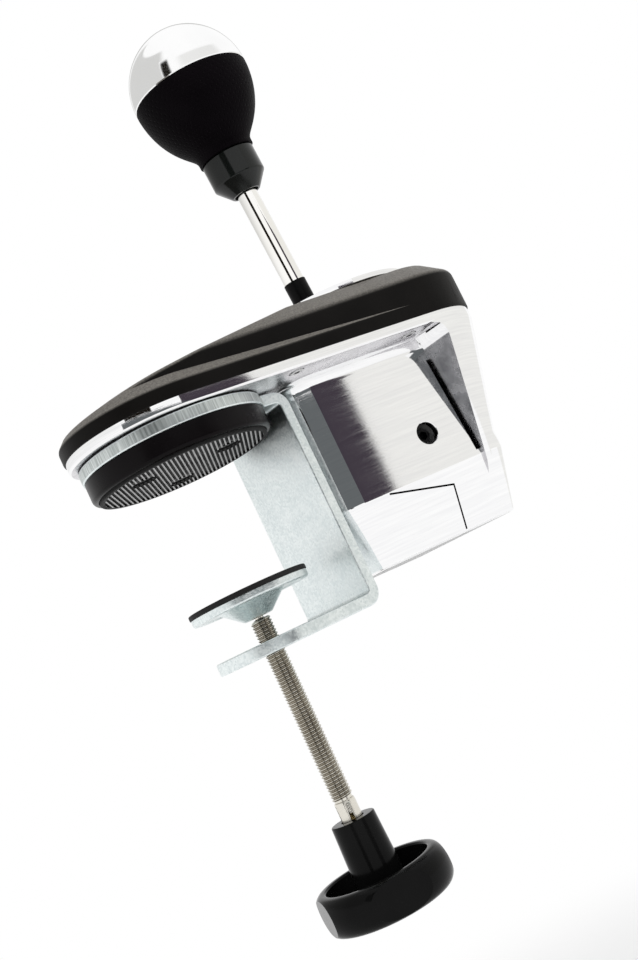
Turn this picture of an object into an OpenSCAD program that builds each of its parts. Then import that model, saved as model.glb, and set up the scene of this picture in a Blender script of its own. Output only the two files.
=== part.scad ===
// Clamp-on gear shifter for a racing simulator: a ball-topped lever in a four-column gate,
// a cast housing with a plastic top collar, and a bent-plate table clamp with a screw jaw.
// Frame: origin at the centre of the upper clamp face, +Z up, +X from the clamp to the lever.

/* [Upper clamp pad] */
// Diameter of the ribbed rubber tread
tread_d = 66; // [60:0.5:70]
// How far the tread stands out below its ring
tread_proud = 1; // [0.6:0.1:1.6]
// Depth of the tread's seat in the ring
tread_seat = 3; // [2:0.5:4]
// Wall of the pad ring around the tread
ring_wall = 2.2; // [1.8:0.1:3]
// Height of the pad ring
ring_h = 8; // [7:0.5:10]
// Pitch of the tread's ribs
rib_pitch = 2.2; // [2:0.1:4]
// Width of the groove between two ribs
rib_gap = 1.4; // [0.6:0.1:1.5]
// Plain border around the ribs
rib_border = 1.6; // [1:0.1:2.4]
// Turn of the ribs from the X axis
rib_turn = 52; // [0:1:90]
// Radius of the circle of the three pad screws
pad_screw_circle = 19; // [16:0.5:21]
// Turn of the first pad screw
pad_screw_turn = 64; // [0:1:119]

/* [Clamp bracket] */
// Thickness of the bent plate
sheet_t = 4.6; // [4:0.2:5.4]
// Inner radius of the two bends
bend_r = 1.5; // [1:0.25:3]
// Width of the upright plate and of the lower jaw
plate_w = 42; // [36:1:48]
// Gap between the pad ring and the upright plate
throat_gap = 1.3; // [1:0.1:4]
// Height of the jaw opening below the upper clamp face
jaw_open = 68.6; // [64:0.2:80]
// Overhang of the bracket's disc beyond the pad ring
disc_lip = 0.6; // [0.2:0.1:1.2]
// Thickness of the gasket above the bracket
gasket_t = 0.5; // [0.3:0.1:1]

/* [Screw jaw] */
// Offset of the screw axis from the pad's centre towards the upright plate
screw_x = 2; // [0:0.5:4]
// Outer diameter of the clamp screw's thread
screw_d = 7.9; // [6:0.1:9]
// Opening of the clamp as shown
clamp_gap = 49; // [40:1:52]
// Diameter of the swivel pad
jaw_pad_d = 46; // [38:1:52]
// Thickness of the swivel pad's rubber
jaw_rubber_t = 1.8; // [1.2:0.1:3]
// Thickness of the swivel dish's rim
dish_rim_t = 2.8; // [2:0.1:4]
// Diameter of the ball on the screw's end
ball_d = 6.6; // [6:0.1:7.6]
// Wall of the plastic socket around the ball
socket_wall = 1.2; // [1:0.1:1.8]
// Diameter of the dish's bowl where it meets the rim
bowl_d = 24.8; // [22:0.2:30]
// Length of thread below the jaw as shown
thread_below = 64; // [55:1:70]
// Length of the plain end above the handwheel
plain_end = 8; // [6:0.5:10]

/* [Handwheel] */
// Outer diameter of the handwheel
wheel_d = 51; // [44:1:60]
// Height of the handwheel's rim
wheel_h = 14; // [12:0.5:18]
// Radial thickness of the rim
rim_t = 6; // [5:0.5:8]
// Depth of the four flats on the rim
flat_depth = 2.6; // [1.5:0.1:3]
// Turn of the first flat from the X axis
flat_turn = 66; // [0:1:89]
// Diameter of the hub at its top
hub_top_d = 16.5; // [14:0.5:18]
// Diameter of the hub where it meets the rim
hub_low_d = 18.5; // [16:0.5:22]
// Height of the hub above the rim
hub_h = 19; // [14:1:26]

/* [Housing] */
// Thickness of the flange under the collar
flange_t = 3.8; // [3:0.2:6]
// Inset of the flange from the collar's edge
flange_inset = 0.6; // [0.2:0.1:1.5]
// Wall of the casting
wall = 3; // [2:0.25:4]
// Radius of the rounded front of the body
front_r = 36.5; // [34:0.5:40]
// Radius of the rear corners of the body
rear_r = 32.5; // [28:0.5:36]
// Lead of the front's centre before the clamp's axis
body_lead = 3; // [2:0.25:4]
// Distance from the front's centre to the rear corners' centres
body_run = 108; // [100:1:116]
// Sideways offset of the rear corners' centres
rear_spread = 22; // [18:0.5:26]
// Gap between the bracket and the front wall of the gearbox
box_gap = 2; // [1:0.5:5]
// Length of the gearbox
box_len = 69; // [66:1:74]
// Half width of the gearbox at its front
box_front_w = 25; // [23:0.5:28]
// Half width of the gearbox at its rear
box_rear_w = 38.5; // [36:0.5:42]
// Height of the gearbox's upright side below the flange
box_side_h = 52; // [48:0.5:56]
// Height of the sloping lower band
box_band_h = 25.5; // [22:0.5:29]
// Inward slope of the lower band
box_band_in = 7; // [5:0.5:9]
// Thickness of the bottom cover
cover_t = 3; // [2:0.25:4]
// Diameter of the two tool holes in the sides
tool_hole_d = 9; // [7:0.25:11]
// Diameter of the round cable socket
socket_d = 12; // [10:0.5:14]

/* [Collar and gate] */
// Tilt of the lever's pivot towards the clamp
deck_tilt = 6; // [4:0.25:8]
// Backward rise of the gate plate
plate_tilt = 2; // [1:0.25:3]
// Backward rise of the nose before the gate plate
nose_rise = 9.3; // [8:0.1:10]
// Height of the gate plate's top above the lever's pivot
gate_h = 63.5; // [62:0.5:68]
// Thickness of the gate plate
plate_t = 2; // [1.5:0.25:3]
// Diameter of the gate plate
plate_d = 84; // [82:0.5:86]
// Offset of the gate plate's centre behind the lever
plate_back = 6; // [4:0.5:7]
// Pitch of the gate's columns
column_pitch = 15.5; // [14.5:0.25:16.5]
// Travel in a column to each side of neutral, at the gate
gate_throw = 14.5; // [12:0.5:16]
// Clearance of the gate slots around the sleeve
gate_clear = 1.7; // [1.4:0.1:1.9]
// Wall of the plastic collar
collar_wall = 3; // [2:0.25:4]
// Height of the collar's lower band
band_h = 5; // [4:0.25:6]
// Height of the sloping shelf above the band
shelf_h = 5.6; // [4:0.2:7]
// Depth of the sloping shelf
shelf_in = 5.5; // [4:0.25:7]
// Set-back of the upper tier at the nose
upper_in = 4; // [2:0.25:6]
// Height of the brow, where the top bevel starts, above the flange at the clamp's axis
brow_h = 14.2; // [12:0.2:15]
// Backward rise of the brow
brow_tilt = 2.3; // [1:0.1:3]
// Width of the top bevel at the nose
bevel_front = 6; // [4:0.5:8]
// Width of the top bevel at the rear end
bevel_rear = 3.5; // [2.5:0.25:4]
// Extra width of the top bevel along the sides
bevel_side = 4; // [2:0.25:5]

/* [Lever] */
// Sideways lean of the resting lever
rest_lean = 3.1; // [2.5:0.1:3.5]
// Diameter of the chrome shaft
shaft_d = 8.6; // [8:0.1:10]
// Wall of the gate sleeve
sleeve_wall = 0.4; // [0.3:0.05:0.8]
// Height of the sleeve above the gate plate
sleeve_up = 16; // [8:1:20]
// Diameter of the ball knob
knob_d = 50; // [44:1:56]
// Wall of the knob's chrome cap
cap_wall = 4; // [2.5:0.5:6]
// Height of the knob's centre above the pivot
knob_at = 169.5; // [160:0.5:190]
// Length of the grip below the knob's seam
grip_len = 31.8; // [29:0.1:36]
// Diameter of the neck collar
neck_d = 22.6; // [20:0.1:26]
// Length of the neck collar
neck_len = 17; // [12:0.5:20]

/* [Pivot] */
// Distance of the pivot before the body's rear corner centres
pivot_x = 14.3; // [12:0.1:17]
// Sideways place of the pivot
pivot_y = -3.4; // [-5:0.2:-2]
// Depth of the pivot below the clamp face
pivot_drop = 20; // [18:0.5:22]
// Diameter of the shift pin and the select pins
pin_d = 5; // [4:0.25:5.5]
// Half length of the gimbal frame, front to rear
gimbal_x = 15; // [14:0.25:15.5]
// Half width of the gimbal frame
gimbal_y = 17; // [16:0.25:18]
// Height of the gimbal frame
gimbal_h = 12; // [11:0.5:13]
// Wall of the gimbal frame's ends
gimbal_end = 5; // [4.5:0.25:5.5]
// Wall of the gimbal frame's sides
gimbal_side = 6; // [5:0.25:6.5]
// Radius of the lever hub
hub_r = 8; // [7.5:0.1:8.4]
// Length of the lever below the pivot
tail_len = 21; // [18:0.5:22]

/* [Clearances] */
// Radial clearance of pins and shafts that turn
run_clear = 0.05; // [0.02:0.01:0.09]
// Radial clearance of screws and inserts that stay put
seat_clear = 0.08; // [0.04:0.01:0.15]
// Gap between faces that pass each other
pass_gap = 0.4; // [0.3:0.05:0.6]

/* [Hidden] */
$fn = 64;
ring_d = tread_d + 2 * ring_wall;
ring_z = tread_proud;
disc_z = ring_z + ring_h;
disc_d = ring_d + 2 * disc_lip;
throat = ring_d / 2 + throat_gap;
deck_z = disc_z + sheet_t + gasket_t;
collar_z = deck_z + flange_t;
jaw_z = -jaw_open;
bend_out = bend_r + sheet_t;

pad_top = -clamp_gap;
dish_top = pad_top - jaw_rubber_t;
dish_low = dish_top - dish_rim_t;
ball_r = ball_d / 2;
ball_z = dish_top - ball_r - pass_gap;
socket_r = ball_r + run_clear + socket_wall;
cavity_r = socket_r + run_clear;
bowl_wall = 1.2;
bowl_r = cavity_r + bowl_wall;
neck_hole_r = 0.66 * socket_r;
bowl_low = ball_z - sqrt(bowl_r * bowl_r - neck_hole_r * neck_hole_r);
bowl_foot_r = neck_hole_r + 2 * bowl_wall;
screw_neck_r = 0.5 * ball_r;
screw_shoulder = bowl_low - 0.6;
key_turn = flat_turn - 2;
hub_top_z = jaw_z - sheet_t - thread_below;
rim_top_z = hub_top_z - hub_h;
rim_low_z = rim_top_z - wheel_h;
wheel_floor_t = 4;
insert_r = hub_top_d / 2 - 2.2;

box_x = throat + sheet_t + box_gap;
box_corner = max(11, wall + box_band_in + 1);
box_low = deck_z - box_side_h;
floor_z = box_low - box_band_h;
rear_mid_z = box_low - 3;
front_x = -body_lead;
body_rear_x = front_x + body_run;
lever_x = body_rear_x - pivot_x;
pivot_z = -pivot_drop;
base_z = pivot_z - tail_len - 10;
base_t = 4;

gate_mid = gate_h - plate_t / 2;
rest_y = -gate_mid * tan(rest_lean);
sleeve_d = shaft_d + 2 * sleeve_wall;
slot_w = sleeve_d + 2 * gate_clear;
gate_open_r = plate_d / 2 - 4;
plate_screw_r = plate_d / 2 - 2;
neck_low = knob_at - grip_len - neck_len;
board_z = base_z + base_t + 2;
board_t = 1.6;
side_slope = (box_rear_w - box_front_w) / (box_len - box_corner);
tool_x = box_x + box_len * 0.64;
tool_y = box_side(tool_x);
tool_z = pivot_z - 2.5;
post_gap = gimbal_x + pass_gap;
post_t = 6;
base_front = lever_x - post_gap - post_t - 3;
base_rear = lever_x + post_gap + post_t - 0.2;
base_screw_x = box_x + box_len - 3.7;
base_ear = 4;
base_w = 38;
base_boss_r = 3.2;
post_w = 14;
head_sink = 1.3;
cover_sink = 1.7;
head_r = 2.8;
head_h = 1.6;
head_gap = 0.3;
cover_lip = wall + box_band_in - 1.5;
cover_edge = cover_lip + 0.3;
cover_rim = 1;
cover_boss_r = 5.5;
cover_boss_h = 7;
cover_front_x = box_x + 12;
cover_rear_x = box_x + box_len - 19;
cover_rear_y = box_side(cover_rear_x) - cover_edge - head_r - head_gap - cover_rim;
collar_post_r = 4;
tier_step = 0.3;
neck_taper = 5.1;
neck_taper_h = 6;

// Half width of the gearbox's flat side at a place along it
function box_side(x) = box_front_w - box_corner + (x - box_x - box_corner) * side_slope
    + box_corner * norm([1, side_slope]);

// Circles [x, y, radius] whose taut belt is the outline of the body and of the gearbox
BODY = [[front_x, 0, front_r], [body_rear_x, -rear_spread, rear_r], [body_rear_x, rear_spread, rear_r]];
UPPER = [[front_x, 0, front_r - upper_in], BODY[1], BODY[2]];
TOP = [[front_x, 0, front_r - upper_in - bevel_front],
    for (s = [-1, 1]) [body_rear_x, s * (rear_spread - bevel_side), rear_r - bevel_rear]];
BOX = [
    [box_x + box_corner, -box_front_w + box_corner, box_corner],
    [box_x + box_len, -box_rear_w + box_corner, box_corner],
    [box_x + box_len, box_rear_w - box_corner, box_corner],
    [box_x + box_corner, box_front_w - box_corner, box_corner]
];
REAR_TOP = [for (s = [-1, 1]) [body_rear_x, s * rear_spread, rear_r - flange_inset]];
REAR_MID = [for (s = [-1, 1]) [body_rear_x, s * (rear_spread - 5), rear_r - 11.5]];
REAR_LOW = [for (s = [-1, 1]) [body_rear_x - 14, s * (rear_spread - 8), rear_r - 18.5]];
COLUMNS = [-1, 0, 1, 2];
COLLAR_SCREWS = [for (s = [-1, 1]) each [
    [front_x + 0.37 * body_run, s * front_r], [body_rear_x - 15, s * (rear_spread + rear_r - 10)]]];
COVER_SCREWS = [for (s = [-1, 1]) each [
    [cover_front_x, s * (box_front_w - 14)], [cover_rear_x, s * cover_rear_y]]];
BASE_SCREWS = [for (s = [-1, 1]) each [
    [lever_x - post_gap - 4.6, s * post_w], [base_screw_x, s * (base_w / 2 + 1.5)]]];

// Angle of the outward normal of the tangent from circle a to circle b
function tangent_angle(a, b) =
    let (d = [b[0] - a[0], b[1] - a[1]])
    atan2(d[1], d[0]) - 90 + asin((a[2] - b[2]) / norm(d));

function wrapped(angle) = angle - 360 * floor(angle / 360);

// Outline of a belt drawn taut around circles that are listed anticlockwise
function belt(circles, inset = 0, step = 6) = [
    for (i = [0 : len(circles) - 1])
        let (
            c = circles[i],
            before = circles[(i + len(circles) - 1) % len(circles)],
            after = circles[(i + 1) % len(circles)],
            start = tangent_angle(before, c),
            sweep = wrapped(tangent_angle(c, after) - start),
            steps = max(1, ceil(sweep / step))
        )
        for (k = [0 : steps])
            let (angle = start + sweep * k / steps)
            [c[0] + (c[2] - inset) * cos(angle), c[1] + (c[2] - inset) * sin(angle)]
];

// A slab with a belt outline between two heights
module slab(circles, low, high, inset = 0) {
    translate([0, 0, low]) linear_extrude(high - low) polygon(belt(circles, inset));
}

// Frame of the tilted pivot, with its origin where the two pivot axes cross
module deck_frame() {
    translate([lever_x, pivot_y, pivot_z]) rotate([0, -deck_tilt, 0]) children();
}

// Frame of the gate plate, with its origin on the plate's top at the lever
module gate_frame() {
    deck_frame() translate([0, 0, gate_h]) rotate([0, deck_tilt - plate_tilt, 0]) children();
}

// Frame of the resting lever, with its axis along Z
module lever_frame() {
    deck_frame() rotate([rest_lean, 0, 0]) children();
}

module tube(outer, inner, low, high) {
    translate([0, 0, low]) difference() {
        cylinder(r = outer, h = high - low);
        translate([0, 0, -1]) cylinder(r = inner, h = high - low + 2);
    }
}

// Screw with its head's seat at the origin, its head up and its shank down
module screw(head_r, head_h, shank_r, shank_h, socket_r = 0) {
    difference() {
        union() {
            cylinder(r = head_r, h = head_h);
            translate([0, 0, -shank_h]) cylinder(r = shank_r, h = shank_h);
        }
        if (socket_r > 0) translate([0, 0, head_h * 0.4]) cylinder(r = socket_r, h = head_h, $fn = 6);
    }
}

// One wound wire along Z, as rings of six points joined by triangles
module coil(mean_r, wire_r, turns, pitch) {
    rings = turns * 8;
    points = [
        for (i = [0 : rings]) for (k = [0 : 5])
            let (a = 45 * i, b = 60 * k, r = mean_r + wire_r * cos(b))
            [r * cos(a), r * sin(a), pitch * i / 8 + wire_r * sin(b)]
    ];
    skin = [
        for (i = [0 : rings - 1]) for (k = [0 : 5])
            let (p = 6 * i + k, q = 6 * i + (k + 1) % 6)
            each [[p, q, q + 6], [p, q + 6, p + 6]]
    ];
    ends = [for (k = [1 : 4]) each [[0, k + 1, k], [6 * rings, 6 * rings + k, 6 * rings + k + 1]]];
    echo(coil_gap = pitch - 2 * wire_r);
    polyhedron(points, concat(skin, ends));
}

// Places of the pad screws on the clamp's axis
module at_pad_screws() {
    for (k = [0 : 2]) rotate(pad_screw_turn + 120 * k) translate([pad_screw_circle, 0, 0]) children();
}

pad_head_r = 4.5;
pad_head_h = 3;
pad_shank_r = 2.5;
pad_hole_r = pad_head_r + 0.5;
boss_h = 5;

module pad_tread() {
    color([0.13, 0.13, 0.14]) difference() {
        cylinder(d = tread_d, h = tread_proud + tread_seat);
        intersection() {
            translate([0, 0, -1]) cylinder(d = tread_d - 2 * rib_border, h = 1 + tread_proud * 0.8);
            rotate(rib_turn) for (k = [-floor(tread_d / rib_pitch / 2) : floor(tread_d / rib_pitch / 2)])
                translate([-tread_d, k * rib_pitch - rib_gap / 2, -2]) cube([2 * tread_d, rib_gap, 4]);
        }
        at_pad_screws() translate([0, 0, -1]) cylinder(r = pad_hole_r, h = tread_proud + tread_seat + 2);
    }
}

module pad_ring() {
    color([0.05, 0.05, 0.055]) difference() {
        translate([0, 0, ring_z]) rotate_extrude() polygon([
            [0, 0], [ring_d / 2 - 1.2, 0], [ring_d / 2 - 0.3, 0.5], [ring_d / 2, 1.6],
            [ring_d / 2, ring_h], [0, ring_h]
        ]);
        cylinder(r = tread_d / 2 + seat_clear, h = ring_z + tread_seat);
        at_pad_screws() cylinder(r = pad_shank_r + seat_clear, h = disc_z + 1);
    }
}

module pad_screws() {
    color([0.6, 0.6, 0.62]) at_pad_screws() translate([0, 0, ring_z + tread_seat]) rotate([180, 0, 0])
        screw(pad_head_r, pad_head_h - 0.2, pad_shank_r, collar_z + boss_h - 1 - ring_z - tread_seat, 2);
}

// Side view of the bent plate, with X forward of the sheet's upright part
module bracket_profile() {
    translate([0, disc_z]) square([throat - bend_r, sheet_t]);
    translate([throat, jaw_z + bend_r]) square([sheet_t, disc_z - jaw_z - 2 * bend_r]);
    translate([screw_x, jaw_z - sheet_t]) square([throat - bend_r - screw_x, sheet_t]);
    translate([throat - bend_r, disc_z - bend_r]) intersection() {
        difference() { circle(bend_out); circle(bend_r); }
        square(bend_out + 1);
    }
    translate([throat - bend_r, jaw_z + bend_r]) intersection() {
        difference() { circle(bend_out); circle(bend_r); }
        translate([0, -bend_out - 1]) square(bend_out + 1);
    }
}

module clamp_bracket() {
    color([0.72, 0.75, 0.76]) difference() {
        union() {
            translate([0, 0, disc_z]) cylinder(d = disc_d, h = sheet_t);
            rotate([90, 0, 0]) linear_extrude(plate_w, center = true) bracket_profile();
            translate([screw_x, 0, jaw_z - sheet_t]) cylinder(d = plate_w, h = sheet_t);
        }
        translate([screw_x, 0, jaw_z - sheet_t - 1]) cylinder(r = screw_d / 2 + run_clear, h = sheet_t + 2);
        at_pad_screws() translate([0, 0, disc_z - 1]) cylinder(r = pad_shank_r + seat_clear, h = sheet_t + 2);
    }
}

module clamp_gasket() {
    color([0.04, 0.04, 0.04]) difference() {
        translate([0, 0, disc_z + sheet_t]) cylinder(d = disc_d - 1, h = gasket_t);
        at_pad_screws() translate([0, 0, disc_z]) cylinder(r = pad_shank_r + seat_clear, h = 3 * sheet_t);
    }
}

module jaw_rubber() {
    color([0.07, 0.07, 0.07]) translate([screw_x, 0, dish_top]) cylinder(d = jaw_pad_d, h = jaw_rubber_t);
}

module jaw_dish() {
    color([0.74, 0.77, 0.78]) translate([screw_x, 0, 0]) difference() {
        union() {
            translate([0, 0, dish_low]) cylinder(d = jaw_pad_d - 1, h = dish_rim_t);
            translate([0, 0, bowl_low])
                cylinder(r1 = bowl_foot_r, r2 = bowl_d / 2, h = dish_low - bowl_low + 0.01);
        }
        translate([0, 0, ball_z]) sphere(cavity_r);
        translate([0, 0, ball_z]) cylinder(r = cavity_r, h = ball_d * 2);
        translate([0, 0, bowl_low - 1]) cylinder(r = neck_hole_r, h = ball_d);
    }
}

module swivel_socket() {
    color([0.85, 0.85, 0.82]) translate([screw_x, 0, ball_z]) difference() {
        sphere(socket_r);
        sphere(ball_r + run_clear);
        translate([-20, -20, 1]) cube(40);
        translate([0, 0, -20]) cylinder(r = neck_hole_r * 0.95, h = 20);
    }
}

module swivel_ball() {
    color([0.7, 0.7, 0.7]) translate([screw_x, 0, ball_z]) difference() {
        sphere(ball_r);
        translate([0, 0, -ball_r - 1]) cylinder(r = screw_neck_r + seat_clear, h = ball_r + 1);
    }
}

module clamp_screw() {
    color([0.78, 0.76, 0.7]) translate([screw_x, 0, 0]) difference() {
        union() {
            translate([0, 0, ball_z - ball_r * 0.75]) cylinder(r = screw_neck_r, h = ball_r * 0.7);
            translate([0, 0, screw_shoulder - 0.01])
                cylinder(r = screw_neck_r, h = ball_z - ball_r * 0.75 - screw_shoulder + 0.02);
            translate([0, 0, hub_top_z]) cylinder(d = screw_d, h = screw_shoulder - hub_top_z);
            translate([0, 0, hub_top_z - hub_h]) cylinder(d = screw_d, h = hub_h);
        }
        for (k = [0 : 3]) rotate(k * 90 + key_turn) translate([screw_d / 2 - 0.9, -1, hub_top_z - 1])
            cube([3, 2, plain_end]);
    }
}

module handwheel() {
    rim_r = wheel_d / 2;
    round_r = wheel_h / 2;
    color([0.03, 0.03, 0.033]) translate([screw_x, 0, 0]) difference() {
        union() {
            translate([0, 0, rim_low_z]) rotate_extrude() polygon(concat(
                [[0, 0]],
                [for (a = [-90 : 15 : 90]) [
                    rim_r - round_r * 0.6 + round_r * 0.6 * cos(a), round_r + round_r * sin(a)]],
                [[rim_r - rim_t, wheel_h], [rim_r - rim_t, wheel_floor_t], [0, wheel_floor_t]]
            ));
            translate([0, 0, rim_low_z + 1])
                cylinder(d1 = hub_low_d, d2 = hub_top_d, h = hub_top_z - rim_low_z - 1);
        }
        for (k = [0 : 3]) rotate(k * 90 + flat_turn) translate([rim_r - flat_depth, -wheel_d, rim_low_z - 1])
            cube([wheel_d, 2 * wheel_d, wheel_h + 2]);
        translate([0, 0, rim_low_z + wheel_floor_t]) cylinder(r = insert_r + seat_clear, h = wheel_h + hub_h);
    }
}

module handwheel_insert() {
    color([0.75, 0.62, 0.35]) translate([screw_x, 0, 0])
        difference() {
            translate([0, 0, rim_low_z + wheel_floor_t])
                cylinder(r = insert_r, h = hub_top_z - rim_low_z - wheel_floor_t - 0.6);
            translate([0, 0, rim_top_z - seat_clear]) cylinder(r = screw_d / 2 + seat_clear, h = hub_h + 1);
        }
}

// Solid form of the casting; inset moves every wall inwards
module casting(inset) {
    slab(BOX, box_low, deck_z + flange_t, inset);
    hull() {
        slab(BOX, box_low, box_low + 0.1, inset);
        slab(BOX, floor_z, floor_z + 0.1, inset + box_band_in);
    }
    intersection() {
        hull() {
            slab(REAR_TOP, deck_z - inset, deck_z - inset + 0.1, inset);
            slab(REAR_MID, rear_mid_z, rear_mid_z + 0.1, inset);
            slab(REAR_LOW, floor_z + inset, floor_z + inset + 0.1, inset);
        }
        translate([body_rear_x + inset, 0, deck_z]) rotate([0, 12, 0]) translate([0, -100, -200])
            cube([200, 200, 300]);
    }
}

module tool_axis(s) {
    translate([tool_x, s * tool_y, tool_z])
        rotate([0, 0, s * atan(side_slope)]) rotate([s * 90, 0, 0]) children();
}

module at_tops(list) {
    for (p = list) translate([p[0], p[1], 0]) children();
}

collar_shank_r = 1.5;
tool_boss = 5;
tension_r = 3;
cover_shank_r = 1.5;
base_shank_r = 1.5;
socket_z = pivot_z + 8;
socket_x = body_rear_x + rear_r - 8;

module housing() {
    color([0.86, 0.87, 0.88]) difference() {
        union() {
            casting(0);
            slab(BODY, deck_z, collar_z, flange_inset);
            at_pad_screws() translate([0, 0, collar_z - 0.5]) cylinder(r = 5.5, h = boss_h + 0.5);
        }
        difference() {
            casting(wall);
            at_tops(COVER_SCREWS) translate([0, 0, floor_z + cover_t])
                cylinder(r = cover_boss_r, h = cover_boss_h);
            for (s = [-1, 1]) tool_axis(s) cylinder(r = 6, h = wall + tool_boss);
        }
        translate([0, 0, floor_z - 1]) linear_extrude(cover_t + 1) polygon(belt(BOX, cover_lip));
        slab(BOX, deck_z, collar_z + 1, wall);
        at_pad_screws() translate([0, 0, deck_z - 1])
            cylinder(r = pad_shank_r + seat_clear, h = flange_t + boss_h + 2);
        at_tops(COLLAR_SCREWS) translate([0, 0, deck_z - 1])
            cylinder(r = collar_shank_r + seat_clear, h = flange_t + 2);
        at_tops(COLLAR_SCREWS) translate([0, 0, deck_z - 1])
            cylinder(r = head_r + head_gap, h = 1 + head_sink);
        at_tops(COVER_SCREWS) translate([0, 0, floor_z]) cylinder(r = cover_shank_r + seat_clear, h = 12);
        for (s = [-1, 1]) tool_axis(s) translate([0, 0, -5]) cylinder(d = tool_hole_d, h = wall + 5);
        for (s = [-1, 1]) tool_axis(s) cylinder(r = tension_r + seat_clear, h = wall + tool_boss + 2);
        translate([socket_x - 20, 0, socket_z]) rotate([0, 90, 0])
            cylinder(d = socket_d + 2 * seat_clear, h = 60);
    }
}

module bottom_cover() {
    color([0.1, 0.1, 0.11]) difference() {
        union() {
            translate([0, 0, floor_z]) linear_extrude(cover_t - pass_gap / 4) polygon(belt(BOX, cover_edge));
            at_tops(BASE_SCREWS) translate([0, 0, floor_z + 1])
                cylinder(r = base_boss_r, h = base_z - floor_z - 1);
        }
        at_tops(COVER_SCREWS) translate([0, 0, floor_z - 1])
            cylinder(r = cover_shank_r + seat_clear, h = cover_t + 2);
        at_tops(COVER_SCREWS) translate([0, 0, floor_z - 1])
            cylinder(r = head_r + head_gap, h = 1 + cover_sink);
        at_tops(BASE_SCREWS) translate([0, 0, floor_z + cover_t])
            cylinder(r = base_shank_r + seat_clear, h = base_z - floor_z);
    }
}

module cover_screws() {
    color([0.5, 0.5, 0.52]) at_tops(COVER_SCREWS) translate([0, 0, floor_z + cover_sink]) rotate([180, 0, 0])
        screw(head_r, head_h, cover_shank_r, 8, 1.2);
}

// Everything below the deck's plane, lowered by drop
module below_deck(drop = 0) {
    gate_frame() translate([-250, -150, -200]) cube([500, 300, 200 - plate_t - drop]);
}

// Everything below the nose's plane, which meets the deck at the gate plate's front edge
module below_nose(drop = 0) {
    gate_frame() translate([plate_back - plate_d / 2, 0, -plate_t]) rotate([0, plate_tilt - nose_rise, 0])
        translate([-250, -150, -200 - drop]) cube([500, 300, 200]);
}

// Everything below the brow, lowered by drop
module below_brow(drop = 0) {
    translate([0, 0, collar_z + brow_h - drop]) rotate([0, -brow_tilt, 0])
        translate([-100, -150, -150]) cube([300, 300, 150]);
}

// Lower tier, and upper tier with its bevelled top
module collar_form() {
    intersection() {
        hull() {
            slab(BODY, collar_z, collar_z + band_h);
            slab(BODY, collar_z + band_h, collar_z + band_h + shelf_h, shelf_in);
        }
        below_nose(tier_step);
    }
    hull() {
        intersection() {
            slab(UPPER, collar_z, collar_z + 60);
            below_brow();
            below_deck();
            below_nose();
        }
        intersection() {
            slab(TOP, collar_z, collar_z + 60);
            below_deck();
            below_nose();
        }
    }
}

// Hollow under the collar, with pillars left for its screws
module collar_hollow() {
    difference() {
        union() {
            intersection() {
                slab(UPPER, collar_z - 5, collar_z + 60, collar_wall + 1.5);
                below_brow(collar_wall);
                below_deck(collar_wall + 0.5);
                below_nose(collar_wall + 0.5);
            }
            intersection() {
                slab(TOP, collar_z - 5, collar_z + 60, collar_wall);
                below_deck(collar_wall);
                below_nose(collar_wall);
            }
        }
        at_tops(COLLAR_SCREWS) cylinder(r = collar_post_r, h = 100);
    }
}

module at_plate_centre() {
    gate_frame() translate([plate_back, -pivot_y, 0]) children();
}

module at_plate_screws() {
    at_plate_centre() for (a = [28, 152, 208, 332]) rotate(a) translate([plate_screw_r, 0, 0]) children();
}

plate_shank_r = 1.25;

module top_collar() {
    color([0.12, 0.12, 0.12]) difference() {
        collar_form();
        collar_hollow();
        at_plate_centre() translate([0, 0, -gate_h]) cylinder(r = gate_open_r, h = gate_h + 20);
        at_tops(COLLAR_SCREWS) translate([0, 0, collar_z - 1])
            cylinder(r = collar_shank_r + seat_clear, h = 9);
        at_plate_screws() translate([0, 0, -plate_t - collar_wall - 5])
            cylinder(r = plate_shank_r + seat_clear, h = 20);
    }
}

module collar_screws() {
    color([0.6, 0.6, 0.62]) at_tops(COLLAR_SCREWS) translate([0, 0, deck_z + head_sink]) rotate([180, 0, 0])
        screw(head_r, head_h, collar_shank_r, flange_t - head_sink + 7, 1.2);
}

// Gate of four columns joined by the neutral slot
module gate_slots() {
    for (k = COLUMNS) hull() for (s = [-1, 1])
        translate([s * gate_throw, rest_y + k * column_pitch]) circle(d = slot_w, $fn = 32);
    hull() for (k = [COLUMNS[0], COLUMNS[3]]) translate([0, rest_y + k * column_pitch])
        circle(d = slot_w, $fn = 32);
}

module shift_plate() {
    color([0.88, 0.88, 0.89]) difference() {
        at_plate_centre() translate([0, 0, -plate_t]) cylinder(d = plate_d, h = plate_t);
        gate_frame() translate([0, 0, -plate_t - 1]) linear_extrude(plate_t + 2) gate_slots();
        at_plate_screws() translate([0, 0, -plate_t - 1])
            cylinder(r = plate_shank_r + seat_clear, h = plate_t + 2);
    }
}

module plate_screws() {
    color([0.55, 0.55, 0.57]) at_plate_screws()
        screw(1.9, 1.2, plate_shank_r, plate_t + collar_wall - 0.6, 1);
}

module cable_socket() {
    color([0.05, 0.05, 0.05]) translate([socket_x - 4, 0, socket_z]) rotate([0, 90, 0]) difference() {
        cylinder(d = socket_d, h = 10);
        translate([0, 0, 5]) cylinder(d = socket_d - 3, h = 10);
        for (a = [0 : 60 : 300]) rotate(a) translate([socket_d / 4, 0, 3]) cylinder(r = 0.5, h = 5);
    }
}

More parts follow.
